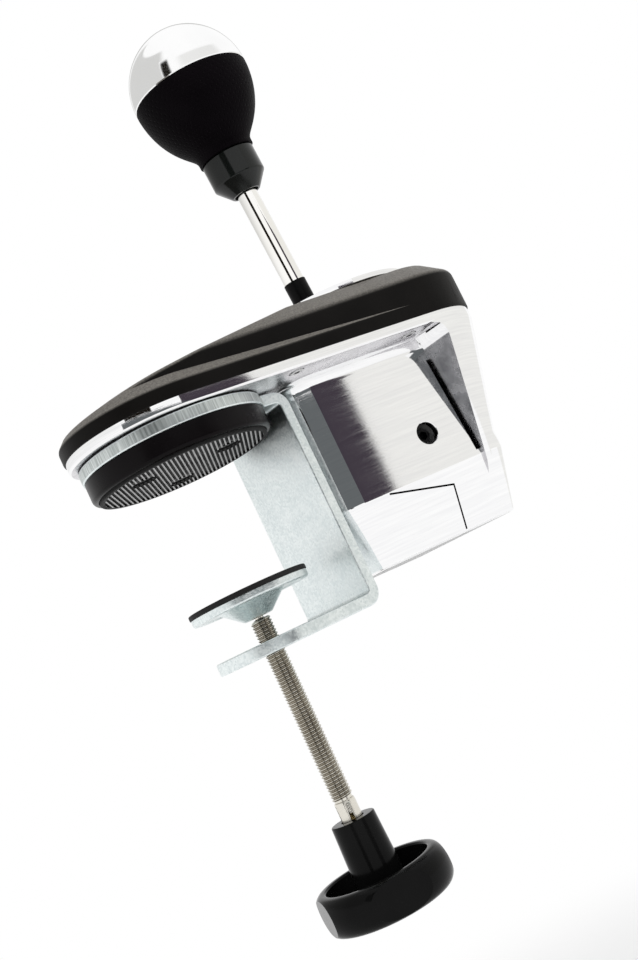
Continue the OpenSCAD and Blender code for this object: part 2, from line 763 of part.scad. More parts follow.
module pivot_base() {
    color([0.2, 0.2, 0.21]) difference() {
        union() {
            translate([base_front, -base_w / 2, base_z])
                cube([base_screw_x + base_ear - base_front, base_w, base_t]);
            at_tops(BASE_SCREWS) translate([-base_ear, -base_ear, base_z])
                cube([2 * base_ear, 2 * base_ear, base_t]);
            translate([lever_x, pivot_y - post_w / 2, base_z]) cube([base_rear - lever_x, post_w, base_t]);
            intersection() {
                translate([0, pivot_y - post_w / 2, base_z]) cube([base_rear, post_w, 100]);
                deck_frame() for (s = [-1, 1])
                    translate([s * (post_gap + post_t / 2) - post_t / 2, -post_w / 2, -60])
                    cube([post_t, post_w, 60 + post_w / 2]);
            }
            deck_frame() for (s = [-1, 1]) rotate([0, s * 90, 0])
                translate([0, 0, post_gap + post_t - 0.1]) cylinder(r = 4.2, h = 8);
        }
        deck_frame() rotate([0, 90, 0]) cylinder(r = pin_d / 2 + seat_clear, h = 100, center = true);
        at_tops(BASE_SCREWS) translate([0, 0, base_z - 1])
            cylinder(r = base_shank_r + seat_clear, h = base_t + 2);
    }
}

module base_screws() {
    color([0.6, 0.6, 0.62]) at_tops(BASE_SCREWS) translate([0, 0, base_z + base_t])
        screw(head_r, head_h, base_shank_r, base_t + 6, 1.2);
}

module select_pins() {
    color([0.7, 0.71, 0.72]) deck_frame() for (s = [-1, 1]) rotate([0, s * 90, 0])
        translate([0, 0, gimbal_x - gimbal_end + 0.4])
            cylinder(d = pin_d, h = post_gap + post_t + 7 - gimbal_x + gimbal_end);
}

bush_r = pin_d / 2 + 1.5;

module select_bushes() {
    color([0.72, 0.5, 0.25]) lever_frame() for (s = [-1, 1]) rotate([0, s * 90, 0])
        tube(bush_r, pin_d / 2 + run_clear, gimbal_x - gimbal_end, gimbal_x);
}

detent_y = bush_r + 3.2;
detent_r = 2.5;

module gimbal_frame() {
    color([0.3, 0.31, 0.33]) lever_frame() difference() {
        translate([-gimbal_x, -gimbal_y, -gimbal_h / 2]) cube([2 * gimbal_x, 2 * gimbal_y, gimbal_h]);
        translate([-gimbal_x + gimbal_end, -gimbal_y + gimbal_side, -gimbal_h])
            cube([2 * (gimbal_x - gimbal_end), 2 * (gimbal_y - gimbal_side), 2 * gimbal_h]);
        rotate([0, 90, 0]) cylinder(r = bush_r + seat_clear, h = 100, center = true);
        rotate([90, 0, 0]) cylinder(r = pin_d / 2 + seat_clear, h = 100, center = true);
        translate([0, detent_y, 0]) rotate([0, 90, 0]) cylinder(r = detent_r + seat_clear, h = 100);
    }
}

module shift_pin() {
    color([0.7, 0.71, 0.72]) lever_frame() rotate([90, 0, 0])
        cylinder(d = pin_d, h = 2 * gimbal_y - 0.4, center = true);
}

hub_half = gimbal_y - gimbal_side - 0.5;

module hub_bushes() {
    color([0.72, 0.5, 0.25]) lever_frame() for (s = [-1, 1]) rotate([s * 90, 0, 0])
        tube(bush_r, pin_d / 2 + run_clear, hub_half - 6, hub_half);
}

shaft_low = pin_d / 2 + 3.5;
hub_top = 26;

module lever_hub() {
    color([0.25, 0.26, 0.27]) lever_frame() difference() {
        union() {
            rotate([90, 0, 0]) cylinder(r = hub_r, h = 2 * hub_half, center = true);
            cylinder(r = hub_r, h = hub_top);
        }
        rotate([90, 0, 0]) cylinder(r = pin_d / 2 + 0.3, h = 100, center = true);
        for (s = [-1, 1]) rotate([s * 90, 0, 0]) translate([0, 0, hub_half - 6])
            cylinder(r = bush_r + seat_clear, h = 20);
        translate([0, 0, shaft_low]) cylinder(r = shaft_d / 2 + seat_clear, h = 100);
        translate([0, 0, -hub_r - 1]) cylinder(r = 2 + seat_clear, h = hub_r + 1 - pin_d / 2 - 1);
        for (a = [-11, 0, 11]) rotate([0, a, 0]) translate([hub_r + 1.2, detent_y - 2.5, 0])
            rotate([-90, 0, 0])
            cylinder(r = 2.2, h = 10);
    }
}

module lever_shaft() {
    color([0.85, 0.85, 0.86]) lever_frame() translate([0, 0, shaft_low + 0.1])
        cylinder(d = shaft_d, h = knob_at - shaft_low - 4);
}

module gate_sleeve() {
    color([0.04, 0.04, 0.04]) lever_frame()
        tube(sleeve_d / 2, shaft_d / 2 + seat_clear, hub_top, gate_h + sleeve_up);
}

module neck_collar() {
    color([0.03, 0.03, 0.03]) lever_frame() translate([0, 0, neck_low]) difference() {
        rotate_extrude() polygon([
            [0, 0], [neck_d / 2 - neck_taper, 0], [neck_d / 2, neck_taper_h],
            [neck_d / 2, neck_len], [0, neck_len]
        ]);
        translate([0, 0, -1]) cylinder(r = shaft_d / 2 + seat_clear, h = neck_len + 2);
        translate([0, 0, -1]) cylinder(r = shaft_d / 2 + 1, h = 2.5);
    }
}

knob_r = knob_d / 2;
grip_low = knob_at - grip_len;
insert_out = shaft_d / 2 + 4;

module knob_insert() {
    color([0.75, 0.62, 0.35]) lever_frame() tube(insert_out, shaft_d / 2 + seat_clear, grip_low, knob_at - 2);
}

// Pear outline of the grip, which flows from the ball into its foot
module grip_outline() {
    foot_r = neck_d / 2 + 0.7;
    steps = 14;
    polygon(concat(
        [[0, 0]],
        [for (k = [0 : steps]) let (drop = grip_len * (1 - k / steps), fall = drop / (1.224 * knob_r))
            [pow(pow(knob_r * sqrt(max(0, 1 - fall * fall)), 6) + pow(foot_r, 6), 1 / 6), grip_len - drop]],
        [[0, grip_len]]
    ));
}

module knob_grip() {
    color([0.05, 0.05, 0.05]) lever_frame() translate([0, 0, grip_low]) difference() {
        rotate_extrude() grip_outline();
        translate([0, 0, -1]) cylinder(r = insert_out + seat_clear, h = grip_len + 2);
    }
}

module knob_cap() {
    color([0.9, 0.9, 0.91]) lever_frame() translate([0, 0, knob_at]) difference() {
        sphere(knob_r);
        sphere(knob_r - cap_wall);
        translate([0, 0, -2 * knob_r]) cylinder(r = 2 * knob_r, h = 2 * knob_r);
    }
}

module magnet_holder() {
    color([0.1, 0.1, 0.1]) lever_frame() difference() {
        union() {
            translate([0, 0, -tail_len]) cylinder(r = 5, h = tail_len - hub_r - 0.05);
            translate([0, 0, -hub_r - 1]) cylinder(r = 2, h = hub_r - pin_d / 2 - 1);
        }
        translate([0, 0, -tail_len - 1]) cylinder(r = 3 + seat_clear, h = 4);
    }
}

module sensor_magnet() {
    color([0.6, 0.61, 0.63]) lever_frame() translate([0, 0, -tail_len]) cylinder(r = 3, h = 2.9);
}

module sensor_board() {
    color([0.05, 0.3, 0.15]) translate([lever_x - 12, -18, board_z]) difference() {
        cube([28, 36, board_t]);
        for (x = [3, 25]) for (y = [3, 33]) translate([x, y, -1]) cylinder(r = 1.3, h = board_t + 2);
    }
}

module board_pillars() {
    color([0.75, 0.62, 0.35]) for (x = [-9, 13]) for (y = [-15, 15]) translate([lever_x + x, y, 0]) {
        translate([0, 0, base_z + base_t]) cylinder(r = 2.4, h = board_z - base_z - base_t);
        translate([0, 0, board_z]) cylinder(r = 1.2, h = board_t + 0.6);
    }
}

module sensor_chips() {
    color([0.06, 0.06, 0.06]) for (y = [-6, 6])
        translate([lever_x - 2.5, y + pivot_y - 2, board_z + board_t]) cube([5, 4, 1.4]);
}

module board_connector() {
    color([0.9, 0.9, 0.85]) translate([lever_x - 4, 10.5, board_z + board_t]) difference() {
        cube([12, 6, 4.5]);
        translate([1, 1.5, 1]) cube([10, 6, 2.5]);
    }
}

module centring_springs() {
    color([0.6, 0.6, 0.62]) deck_frame() for (s = [-1, 1]) rotate([0, s * 90, 0])
        translate([0, 0, post_gap + post_t + 0.9]) coil(5.1, 0.6, 4, 1.75);
}

module detent_screw() {
    color([0.55, 0.55, 0.57]) lever_frame() translate([0, detent_y, 0]) rotate([0, 90, 0]) difference() {
        translate([0, 0, gimbal_x - gimbal_end - 0.6]) cylinder(r = detent_r, h = gimbal_end + 0.6);
        translate([0, 0, gimbal_x - gimbal_end - 1]) cylinder(r = 1.75, h = gimbal_end - 0.4);
    }
}

module detent_spring() {
    color([0.6, 0.6, 0.62]) lever_frame() translate([hub_r + 2.95, detent_y, 0]) rotate([0, 90, 0])
        coil(1.25, 0.22, 2.5, 0.9);
}

module detent_ball() {
    color([0.8, 0.8, 0.81]) lever_frame() translate([hub_r + 1.2, detent_y, 0]) sphere(1.4);
}

module tension_screws() {
    color([0.3, 0.3, 0.31]) for (s = [-1, 1]) tool_axis(s) difference() {
        translate([0, 0, wall + 0.6]) cylinder(r = tension_r, h = tool_boss + 0.8);
        cylinder(r = 1.7, h = wall + 3.2, $fn = 6);
    }
}

pad_tread();
pad_ring();
pad_screws();
clamp_bracket();
clamp_gasket();
jaw_rubber();
jaw_dish();
swivel_socket();
swivel_ball();
clamp_screw();
handwheel();
handwheel_insert();
housing();
bottom_cover();
cover_screws();
top_collar();
collar_screws();
shift_plate();
plate_screws();
cable_socket();
pivot_base();
base_screws();
select_pins();
select_bushes();
gimbal_frame();
shift_pin();
hub_bushes();
lever_hub();
lever_shaft();
gate_sleeve();
neck_collar();
knob_insert();
knob_grip();
knob_cap();
magnet_holder();
sensor_magnet();
sensor_board();
sensor_chips();
board_connector();
board_pillars();
centring_springs();
detent_screw();
detent_spring();
detent_ball();
tension_screws();
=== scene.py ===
"""Dresses the clamp-on gear shifter: finished meshes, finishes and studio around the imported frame."""

import logging
import math
from dataclasses import dataclass
from enum import Enum
from typing import Callable, Iterable, Sequence

import bmesh
import bpy
from bmesh.types import BMEdge, BMesh, BMFace, BMVert
from mathutils import Matrix, Vector


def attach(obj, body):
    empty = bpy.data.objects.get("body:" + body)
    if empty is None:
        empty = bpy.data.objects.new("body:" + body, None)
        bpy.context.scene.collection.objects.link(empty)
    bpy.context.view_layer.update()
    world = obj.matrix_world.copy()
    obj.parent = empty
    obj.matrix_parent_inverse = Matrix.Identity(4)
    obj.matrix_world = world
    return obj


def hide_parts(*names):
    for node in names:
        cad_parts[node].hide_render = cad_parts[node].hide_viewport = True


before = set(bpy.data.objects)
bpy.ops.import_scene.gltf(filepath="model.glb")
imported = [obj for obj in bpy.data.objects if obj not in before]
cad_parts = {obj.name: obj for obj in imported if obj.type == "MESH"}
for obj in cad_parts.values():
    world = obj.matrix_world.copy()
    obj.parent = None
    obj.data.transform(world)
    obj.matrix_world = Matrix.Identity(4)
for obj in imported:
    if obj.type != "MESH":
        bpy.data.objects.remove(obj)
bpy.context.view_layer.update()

LOG = logging.getLogger("shifter")
MM = 0.001
FULL_TURN = 2.0 * math.pi
QUARTER_TURN = math.pi / 2.0
SIDES = (-1.0, 1.0)
WELD = 0.0005
ON_PLANE = 0.0001
FLAT_WEIGHT = 80

Circle = tuple[float, float, float]
Colour = tuple[float, float, float]
Corner = tuple[float, float, float]
Head = tuple[float, float, float, float]
Plane = tuple[Vector, Vector]
Point = tuple[float, float]
Node = bpy.types.Node
Socket = bpy.types.NodeSocket
Tree = bpy.types.NodeTree


class Body(Enum):
    """Bodies of the frame that pieces ride on."""

    BASE = "base"
    LEVER = "lever"
    PAD = "jaw_pad"
    SCREW = "jaw_screw"


class Join(Enum):
    """Ways to combine two closed shapes."""

    ADD = "UNION"
    CUT = "DIFFERENCE"
    KEEP = "INTERSECT"


class Axis(Enum):
    """Direction that a brushed or turned finish runs along."""

    NONE = (1.0, 1.0, 1.0)
    LEVEL = (0.04, 0.04, 1.0)
    ALONG_Z = (1.0, 1.0, 0.04)


def moved(x: float, y: float, z: float) -> Matrix:
    """Matrix that moves a shape."""
    return Matrix.Translation((x, y, z))


def turned(angle: float, axis: str) -> Matrix:
    """Matrix that turns a shape about a main axis."""
    return Matrix.Rotation(angle, 4, axis)


# Frames of the sub-assemblies, in millimetres
PIVOT = Vector((90.7, -3.4, -20.0))
DECK_TILT = math.radians(6.0)
PLATE_TILT = math.radians(2.0)
NOSE_RISE = math.radians(9.3)
REST_LEAN = math.radians(3.1)
GATE_H = 63.5
PLATE_R = 42.0
PLATE_T = 2.0
PLATE_BACK = 6.0
JAW_X = 2.0
DECK_FRAME = Matrix.Translation(PIVOT) @ turned(-DECK_TILT, "Y")
LEVER_FRAME = DECK_FRAME @ turned(REST_LEAN, "X")
GATE_FRAME = DECK_FRAME @ moved(0.0, 0.0, GATE_H) @ turned(DECK_TILT - PLATE_TILT, "Y")
NOSE_FRAME = GATE_FRAME @ moved(PLATE_BACK - PLATE_R, 0.0, -PLATE_T) @ turned(PLATE_TILT - NOSE_RISE, "Y")
JAW_FRAME = moved(JAW_X, 0.0, 0.0)
WORLD_FRAME = Matrix.Identity(4)
UP = Vector((0.0, 0.0, 1.0))
FACING_DOWN = turned(math.pi, "X")
FACING_REAR = turned(QUARTER_TURN, "Y")


# Flat paths


def polar(radius: float, angle: float, x: float = 0.0, y: float = 0.0) -> Point:
    """Point of a circle around a centre."""
    return (x + radius * math.cos(angle), y + radius * math.sin(angle))


def circle_points(x: float, y: float, radius: float, count: int = 48) -> list[Point]:
    """Points of a circle."""
    return [polar(radius, FULL_TURN * k / count, x, y) for k in range(count)]


def eased(corners: Sequence[Corner], closed: bool = False, steps: int = 6) -> list[Point]:
    """Rounds the corners of a flat path.

    Args:
        corners: Points (x, y, radius) of the path, where a radius of 0 keeps a corner sharp.
        closed: Whether the last corner joins the first.
        steps: Segments of each rounded corner.

    Returns:
        The points of the rounded path.
    """
    points: list[Point] = []
    last = len(corners) - 1
    for index, (x, y, radius) in enumerate(corners):
        if radius == 0.0 or (not closed and index in (0, last)):
            points.append((x, y))
            continue
        here = Vector((x, y))
        to_before = (Vector(corners[index - 1][:2]) - here).normalized()
        to_after = (Vector(corners[(index + 1) % len(corners)][:2]) - here).normalized()
        half = to_before.angle(to_after) / 2.0
        centre = here + (to_before + to_after).normalized() * (radius / math.sin(half))
        first = here + to_before * (radius / math.tan(half)) - centre
        second = here + to_after * (radius / math.tan(half)) - centre
        start = math.atan2(first.y, first.x)
        sweep = math.atan2(second.y, second.x) - start
        sweep = (sweep + math.pi) % FULL_TURN - math.pi
        for step in range(steps + 1):
            angle = start + sweep * step / steps
            points.append(polar(radius, angle, centre.x, centre.y))
    return points


def tangent_angle(a: Circle, b: Circle) -> float:
    """Angle of the outward normal of the tangent from circle a to circle b."""
    run = Vector((b[0] - a[0], b[1] - a[1]))
    return math.atan2(run.y, run.x) - QUARTER_TURN + math.asin((a[2] - b[2]) / run.length)


def belt(circles: Sequence[Circle], grow: float = 0.0, step: float = math.radians(5.0)) -> list[Point]:
    """Outline of a belt drawn taut around circles that are listed anticlockwise.

    Args:
        circles: Circles (x, y, radius).
        grow: Outward offset of the belt.
        step: Largest turn between two points on a circle.

    Returns:
        The points of the outline, as many for every offset.
    """
    points: list[Point] = []
    for index, circle in enumerate(circles):
        start = tangent_angle(circles[index - 1], circle)
        sweep = (tangent_angle(circle, circles[(index + 1) % len(circles)]) - start) % FULL_TURN
        count = max(1, math.ceil(sweep / step))
        for k in range(count + 1):
            points.append(polar(circle[2] + grow, start + sweep * k / count, circle[0], circle[1]))
    return points


# Mesh tools


def verts_of(geometry: Iterable[object]) -> list[BMVert]:
    """Vertices among mixed mesh elements."""
    return [item for item in geometry if isinstance(item, BMVert)]


def edges_of(geometry: Iterable[object]) -> list[BMEdge]:
    """Edges among mixed mesh elements."""
    return [item for item in geometry if isinstance(item, BMEdge)]


def everything(bm: BMesh) -> list[object]:
    """All elements of a mesh."""
    return [*bm.verts, *bm.edges, *bm.faces]


def flattened(bm: BMesh, turn: float = 0.4) -> None:
    """Merges faces that turn by less than an angle in degrees."""
    bmesh.ops.dissolve_limit(bm, angle_limit=math.radians(turn), verts=bm.verts, edges=bm.edges)


def sealed(bm: BMesh, gap: float = WELD) -> BMesh:
    """Merges doubled vertices and turns every face outwards."""
    bmesh.ops.remove_doubles(bm, verts=bm.verts, dist=gap)
    bmesh.ops.recalc_face_normals(bm, faces=bm.faces)
    return bm


def ring_of(bm: BMesh, points: Sequence[Vector]) -> list[BMEdge]:
    """Closed loop of edges through points."""
    verts = [bm.verts.new(point) for point in points]
    return [bm.edges.new((verts[i - 1], verts[i])) for i in range(len(verts))]


def path_of(bm: BMesh, points: Sequence[Sequence[float]]) -> list[object]:
    """Open chain of edges through points: its vertices, then its edges."""
    verts = [bm.verts.new(point) for point in points]
    return verts + [bm.edges.new(pair) for pair in zip(verts, verts[1:])]


def spun(bm: BMesh, chain: Sequence[object], angle: float, steps: int, rise: float = 0.0,
         merge: bool = False) -> None:
    """Spins a chain of edges about Z.

    Args:
        bm: Mesh that holds the chain.
        chain: Vertices and edges of the chain.
        angle: Whole turn.
        steps: Segments of the turn.
        rise: Climb of each segment.
        merge: Whether the end joins the start.
    """
    bmesh.ops.spin(
        bm, geom=chain, cent=(0, 0, 0), axis=(0, 0, 1), dvec=(0, 0, rise), angle=angle, steps=steps,
        use_merge=merge
    )


def revolve(profile: Sequence[Point], steps: int = 96, closed: bool = False) -> BMesh:
    """Turns a profile of (radius, height) points about Z.

    Args:
        profile: Points from one end of the profile to the other.
        steps: Segments of the full turn.
        closed: Whether the profile is a loop that stays off the axis.

    Returns:
        The closed shape.
    """
    bm = bmesh.new()
    chain = path_of(bm, [(radius, 0.0, height) for radius, height in profile])
    if closed:
        chain.append(bm.edges.new((chain[len(profile) - 1], chain[0])))
    spun(bm, chain, FULL_TURN, steps, merge=True)
    return sealed(bm)


def loft(rings: Sequence[Sequence[Vector]]) -> BMesh:
    """Closed skin through loops that have as many points each, capped at both ends."""
    bm = bmesh.new()
    loops = [ring_of(bm, ring) for ring in rings]
    for low, high in zip(loops, loops[1:]):
        bmesh.ops.bridge_loops(bm, edges=low + high)
    for cap in (loops[0], loops[-1]):
        bmesh.ops.contextual_create(bm, geom=cap)
    return sealed(bm)


def belt_loft(circles: Sequence[Circle], side: Sequence[Point]) -> BMesh:
    """Lofts a belt outline along a side profile of (offset, height) points."""
    return loft([[Vector((x, y, height)) for x, y in belt(circles, grow)] for grow, height in side])


def hull(rims: Iterable[tuple[Circle, float]], segments: int = 96) -> BMesh:
    """Closed form drawn taut over level circles.

    Args:
        rims: Pairs of a circle and its height.
        segments: Segments of each circle.

    Returns:
        The convex form.
    """
    bm = bmesh.new()
    for (x, y, radius), height in rims:
        place = moved(x, y, height)
        bmesh.ops.create_circle(bm, segments=segments, radius=radius, cap_ends=False, matrix=place)
    return tightened(bm)


def tightened(bm: BMesh) -> BMesh:
    """Convex hull of everything in a mesh, with flat faces merged."""
    bmesh.ops.delete(bm, geom=list(bm.edges), context="EDGES_FACES")
    made = bmesh.ops.convex_hull(bm, input=list(bm.verts))
    spare = set(verts_of(made["geom_interior"])) | set(verts_of(made["geom_unused"]))
    bmesh.ops.delete(bm, geom=list(spare), context="VERTS")
    flattened(bm)
    return sealed(bm)


def sliced(bm: BMesh, point: Vector, normal: Vector) -> list[BMEdge]:
    """Removes what lies past a plane and closes the cut.

    Args:
        bm: Closed shape to cut.
        point: A point of the plane.
        normal: Direction of the side that goes.

    Returns:
        The edges around the cut.
    """
    cut = bmesh.ops.bisect_plane(
        bm, geom=everything(bm), dist=ON_PLANE, plane_co=point, plane_no=normal, clear_outer=True
    )
    rim = edges_of(cut["geom_cut"])
    bmesh.ops.edgeloop_fill(bm, edges=rim)
    return [edge for edge in rim if edge.is_valid]


def rounded(bm: BMesh, edges: Iterable[BMEdge], width: float, segments: int = 3) -> BMesh:
    """Rounds edges of a shape and returns the shape."""
    bmesh.ops.bevel(
        bm, geom=list(edges), offset=width, offset_type="OFFSET", segments=segments, profile=0.5,
        affect="EDGES", material=-1, clamp_overlap=True
    )
    return bm


def softened(bm: BMesh, width: float, turn: float = 30.0, segments: int = 3,
             chosen: Callable[[BMEdge], bool] = lambda edge: True) -> BMesh:
    """Rounds the edges where the surface turns sharply.

    Args:
        bm: Shape to round.
        width: Width of the rounding.
        turn: Least turn between the two faces, in degrees.
        segments: Segments across the rounding.
        chosen: Picks which of the sharp edges are rounded.

    Returns:
        The same shape.
    """
    least = math.radians(turn)
    sharp = [e for e in bm.edges if e.is_manifold and e.calc_face_angle(0.0) > least and chosen(e)]
    return rounded(bm, sharp, width, segments)


def raised(bm: BMesh, faces: Sequence[BMFace], shift: Vector, keep: bool = False) -> list[BMFace]:
    """Extrudes a region of faces by a shift and returns the moved faces."""
    made = bmesh.ops.extrude_face_region(bm, geom=list(faces), use_keep_orig=keep)["geom"]
    bmesh.ops.translate(bm, verts=verts_of(made), vec=shift)
    return [item for item in made if isinstance(item, BMFace)]


def holed_sheet(outline: Sequence[Point], holes: Sequence[Sequence[Point]], height: float) -> BMesh:
    """Flat sheet with an outline and holes, at a height."""
    bm = bmesh.new()
    edges: list[BMEdge] = []
    for loop in (outline, *holes):
        edges += ring_of(bm, [Vector((x, y, height)) for x, y in loop])
    bmesh.ops.triangle_fill(bm, edges=edges, use_beauty=True, normal=(0, 0, 1))
    return bm


def extruded(outline: Sequence[Vector], shift: Vector) -> BMesh:
    """Prism of a flat outline."""
    bm = bmesh.new()
    faces = bmesh.ops.contextual_create(bm, geom=ring_of(bm, outline))["faces"]
    raised(bm, faces, shift, keep=True)
    return sealed(bm)


def as_mesh(name: str, bm: BMesh) -> bpy.types.Mesh:
    """Mesh of a shape, which is freed."""
    mesh = bpy.data.meshes.new(name)
    bm.to_mesh(mesh)
    bm.free()
    return mesh


def linked(name: str, data: bpy.types.ID) -> bpy.types.Object:
    """New object in the scene."""
    item = bpy.data.objects.new(name, data)
    bpy.context.scene.collection.objects.link(item)
    return item


def poured(target: BMesh, extra: BMesh) -> BMesh:
    """Adds a shape to a mesh as another shell and frees it."""
    mesh = as_mesh("poured", extra)
    target.from_mesh(mesh)
    bpy.data.meshes.remove(mesh)
    return target


def combined(base: BMesh, tool: BMesh, how: Join) -> BMesh:
    """Adds, cuts or intersects two closed shapes and frees both.

    Args:
        base: First shape.
        tool: Second shape.
        how: What is done with it.

    Returns:
        The combined shape.
    """
    parts = [linked("loose", as_mesh("loose", shape)) for shape in (base, tool)]
    step = parts[0].modifiers.new("join", "BOOLEAN")
    step.operation = how.value
    step.object = parts[1]
    step.solver = "EXACT"
    bpy.context.view_layer.update()
    result = bmesh.new()
    result.from_object(parts[0], bpy.context.evaluated_depsgraph_get())
    for part in parts:
        mesh = part.data
        bpy.data.objects.remove(part)
        bpy.data.meshes.remove(mesh)
    bmesh.ops.remove_doubles(result, verts=result.verts, dist=WELD)
    return result


def node_shape(node: str) -> BMesh:
    """Merged copy of a frame node's mesh, in millimetres."""
    bm = bmesh.new()
    bm.from_mesh(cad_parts[node].data)
    bm.transform(Matrix.Scale(1.0 / MM, 4))
    bmesh.ops.remove_doubles(bm, verts=bm.verts, dist=0.001)
    flattened(bm, 0.6)
    return bm


def socket_head(radius: float, height: float, key: float, depth: float, ease: float = 0.35) -> BMesh:
    """Round screw head with a six-sided key recess, seated at height 0.

    Args:
        radius: Radius of the head.
        height: Height of the head.
        key: Corner radius of the recess.
        depth: Depth of the recess.
        ease: Rounding of the head's upper rim.

    Returns:
        The closed head.
    """
    bm = revolve(eased([(0.0, 0.0, 0.0), (radius, 0.0, 0.0), (radius, height, ease), (0.0, height, 0.0)]), 40)
    recess = bmesh.new()
    bmesh.ops.create_cone(
        recess, cap_ends=True, segments=6, radius1=key, radius2=key, depth=2.0 * depth,
        matrix=moved(0.0, 0.0, height)
    )
    return combined(bm, recess, Join.CUT)


def plug(radius: float, low: float, high: float, steps: int) -> BMesh:
    """Upright cylinder that fills a round hole."""
    return revolve([(0.0, low), (radius, low), (radius, high), (0.0, high)], steps)


def heads(size: Head, places: Iterable[Matrix]) -> BMesh:
    """Copies of one screw head.

    Args:
        size: Radius and height of the head, corner radius and depth of its recess.
        places: Where the heads sit.

    Returns:
        The heads in one shape.
    """
    bm = bmesh.new()
    for place in places:
        head = socket_head(*size)
        head.transform(place)
        poured(bm, head)
    return bm


def dressed(name: str, bm: BMesh, place: Matrix, body: Body, finishes: Sequence["Finish"],
            stands_for: Sequence[str] = (), crease: float = 35.0) -> bpy.types.Object:
    """Turns a shape in millimetres into a finished piece of the frame.

    Args:
        name: Name of the piece.
        bm: Its shape, which is freed.
        place: Frame of the shape, in millimetres.
        body: Body that the piece rides on.
        finishes: Finishes by material index.
        stands_for: Frame nodes that the piece replaces.
        crease: Angle in degrees above which shading breaks.

    Returns:
        The piece.
    """
    bm.transform(Matrix.Scale(MM, 4) @ place)
    mesh = as_mesh(name, bm)
    for finish in finishes:
        mesh.materials.append(finish.material())
    mesh.shade_smooth()
    mesh.set_sharp_from_angle(angle=math.radians(crease))
    piece = linked(name, mesh)
    normals = piece.modifiers.new("flat_faces", "WEIGHTED_NORMAL")
    normals.mode = "FACE_AREA"
    normals.weight = FLAT_WEIGHT
    normals.keep_sharp = True
    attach(piece, body.value)
    if stands_for:
        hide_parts(*stands_for)
    LOG.info("%s: %d faces on %s", name, len(mesh.polygons), body.value)
    return piece


# Shader nodes


def placed(tree: Tree, kind: str, values: dict[str | int, object] | None = None, **settings: str) -> Node:
    """Adds a shader node.

    Args:
        tree: Tree that the node joins.
        kind: Kind of node, without the words that all kinds start with.
        values: Constants of its inputs, by name or place.
        settings: Its own settings, such as an operation.

    Returns:
        The node.
    """
    node = tree.nodes.new(f"ShaderNode{kind}")
    for label, setting in settings.items():
        setattr(node, label, setting)
    for label, value in (values or {}).items():
        node.inputs[label].default_value = value
    return node


def wired(tree: Tree, *links: tuple[Node, str | int, Node, str | int]) -> None:
    """Links nodes, each link given as a node and its output, then a node and its input."""
    for source, output, target, entry in links:
        tree.links.new(source.outputs[output], target.inputs[entry])


def colour_mix(tree: Tree, values: Sequence[Colour | None]) -> tuple[Node, list[Socket], Socket]:
    """Adds a mix of two colours.

    Args:
        tree: Tree that the mix joins.
        values: The two colours, or nothing for one that is linked.

    Returns:
        The node, its two colour inputs and its result.
    """
    mix = placed(tree, "Mix", data_type="RGBA")
    colours = [socket for socket in mix.inputs if socket.type == "RGBA"]
    for socket, value in zip(colours, values):
        if value:
            socket.default_value = (*value, 1.0)
    return mix, colours, next(socket for socket in mix.outputs if socket.type == "RGBA")


def shaded(name: str, values: dict[str, object]) -> tuple[bpy.types.Material, Tree, Node]:
    """Starts a material with constants on its shader: the material, its tree and the shader."""
    material = bpy.data.materials.new(name)
    material.use_nodes = True
    surface = material.node_tree.nodes["Principled BSDF"]
    for label, value in values.items():
        surface.inputs[label].default_value = value
    return material, material.node_tree, surface


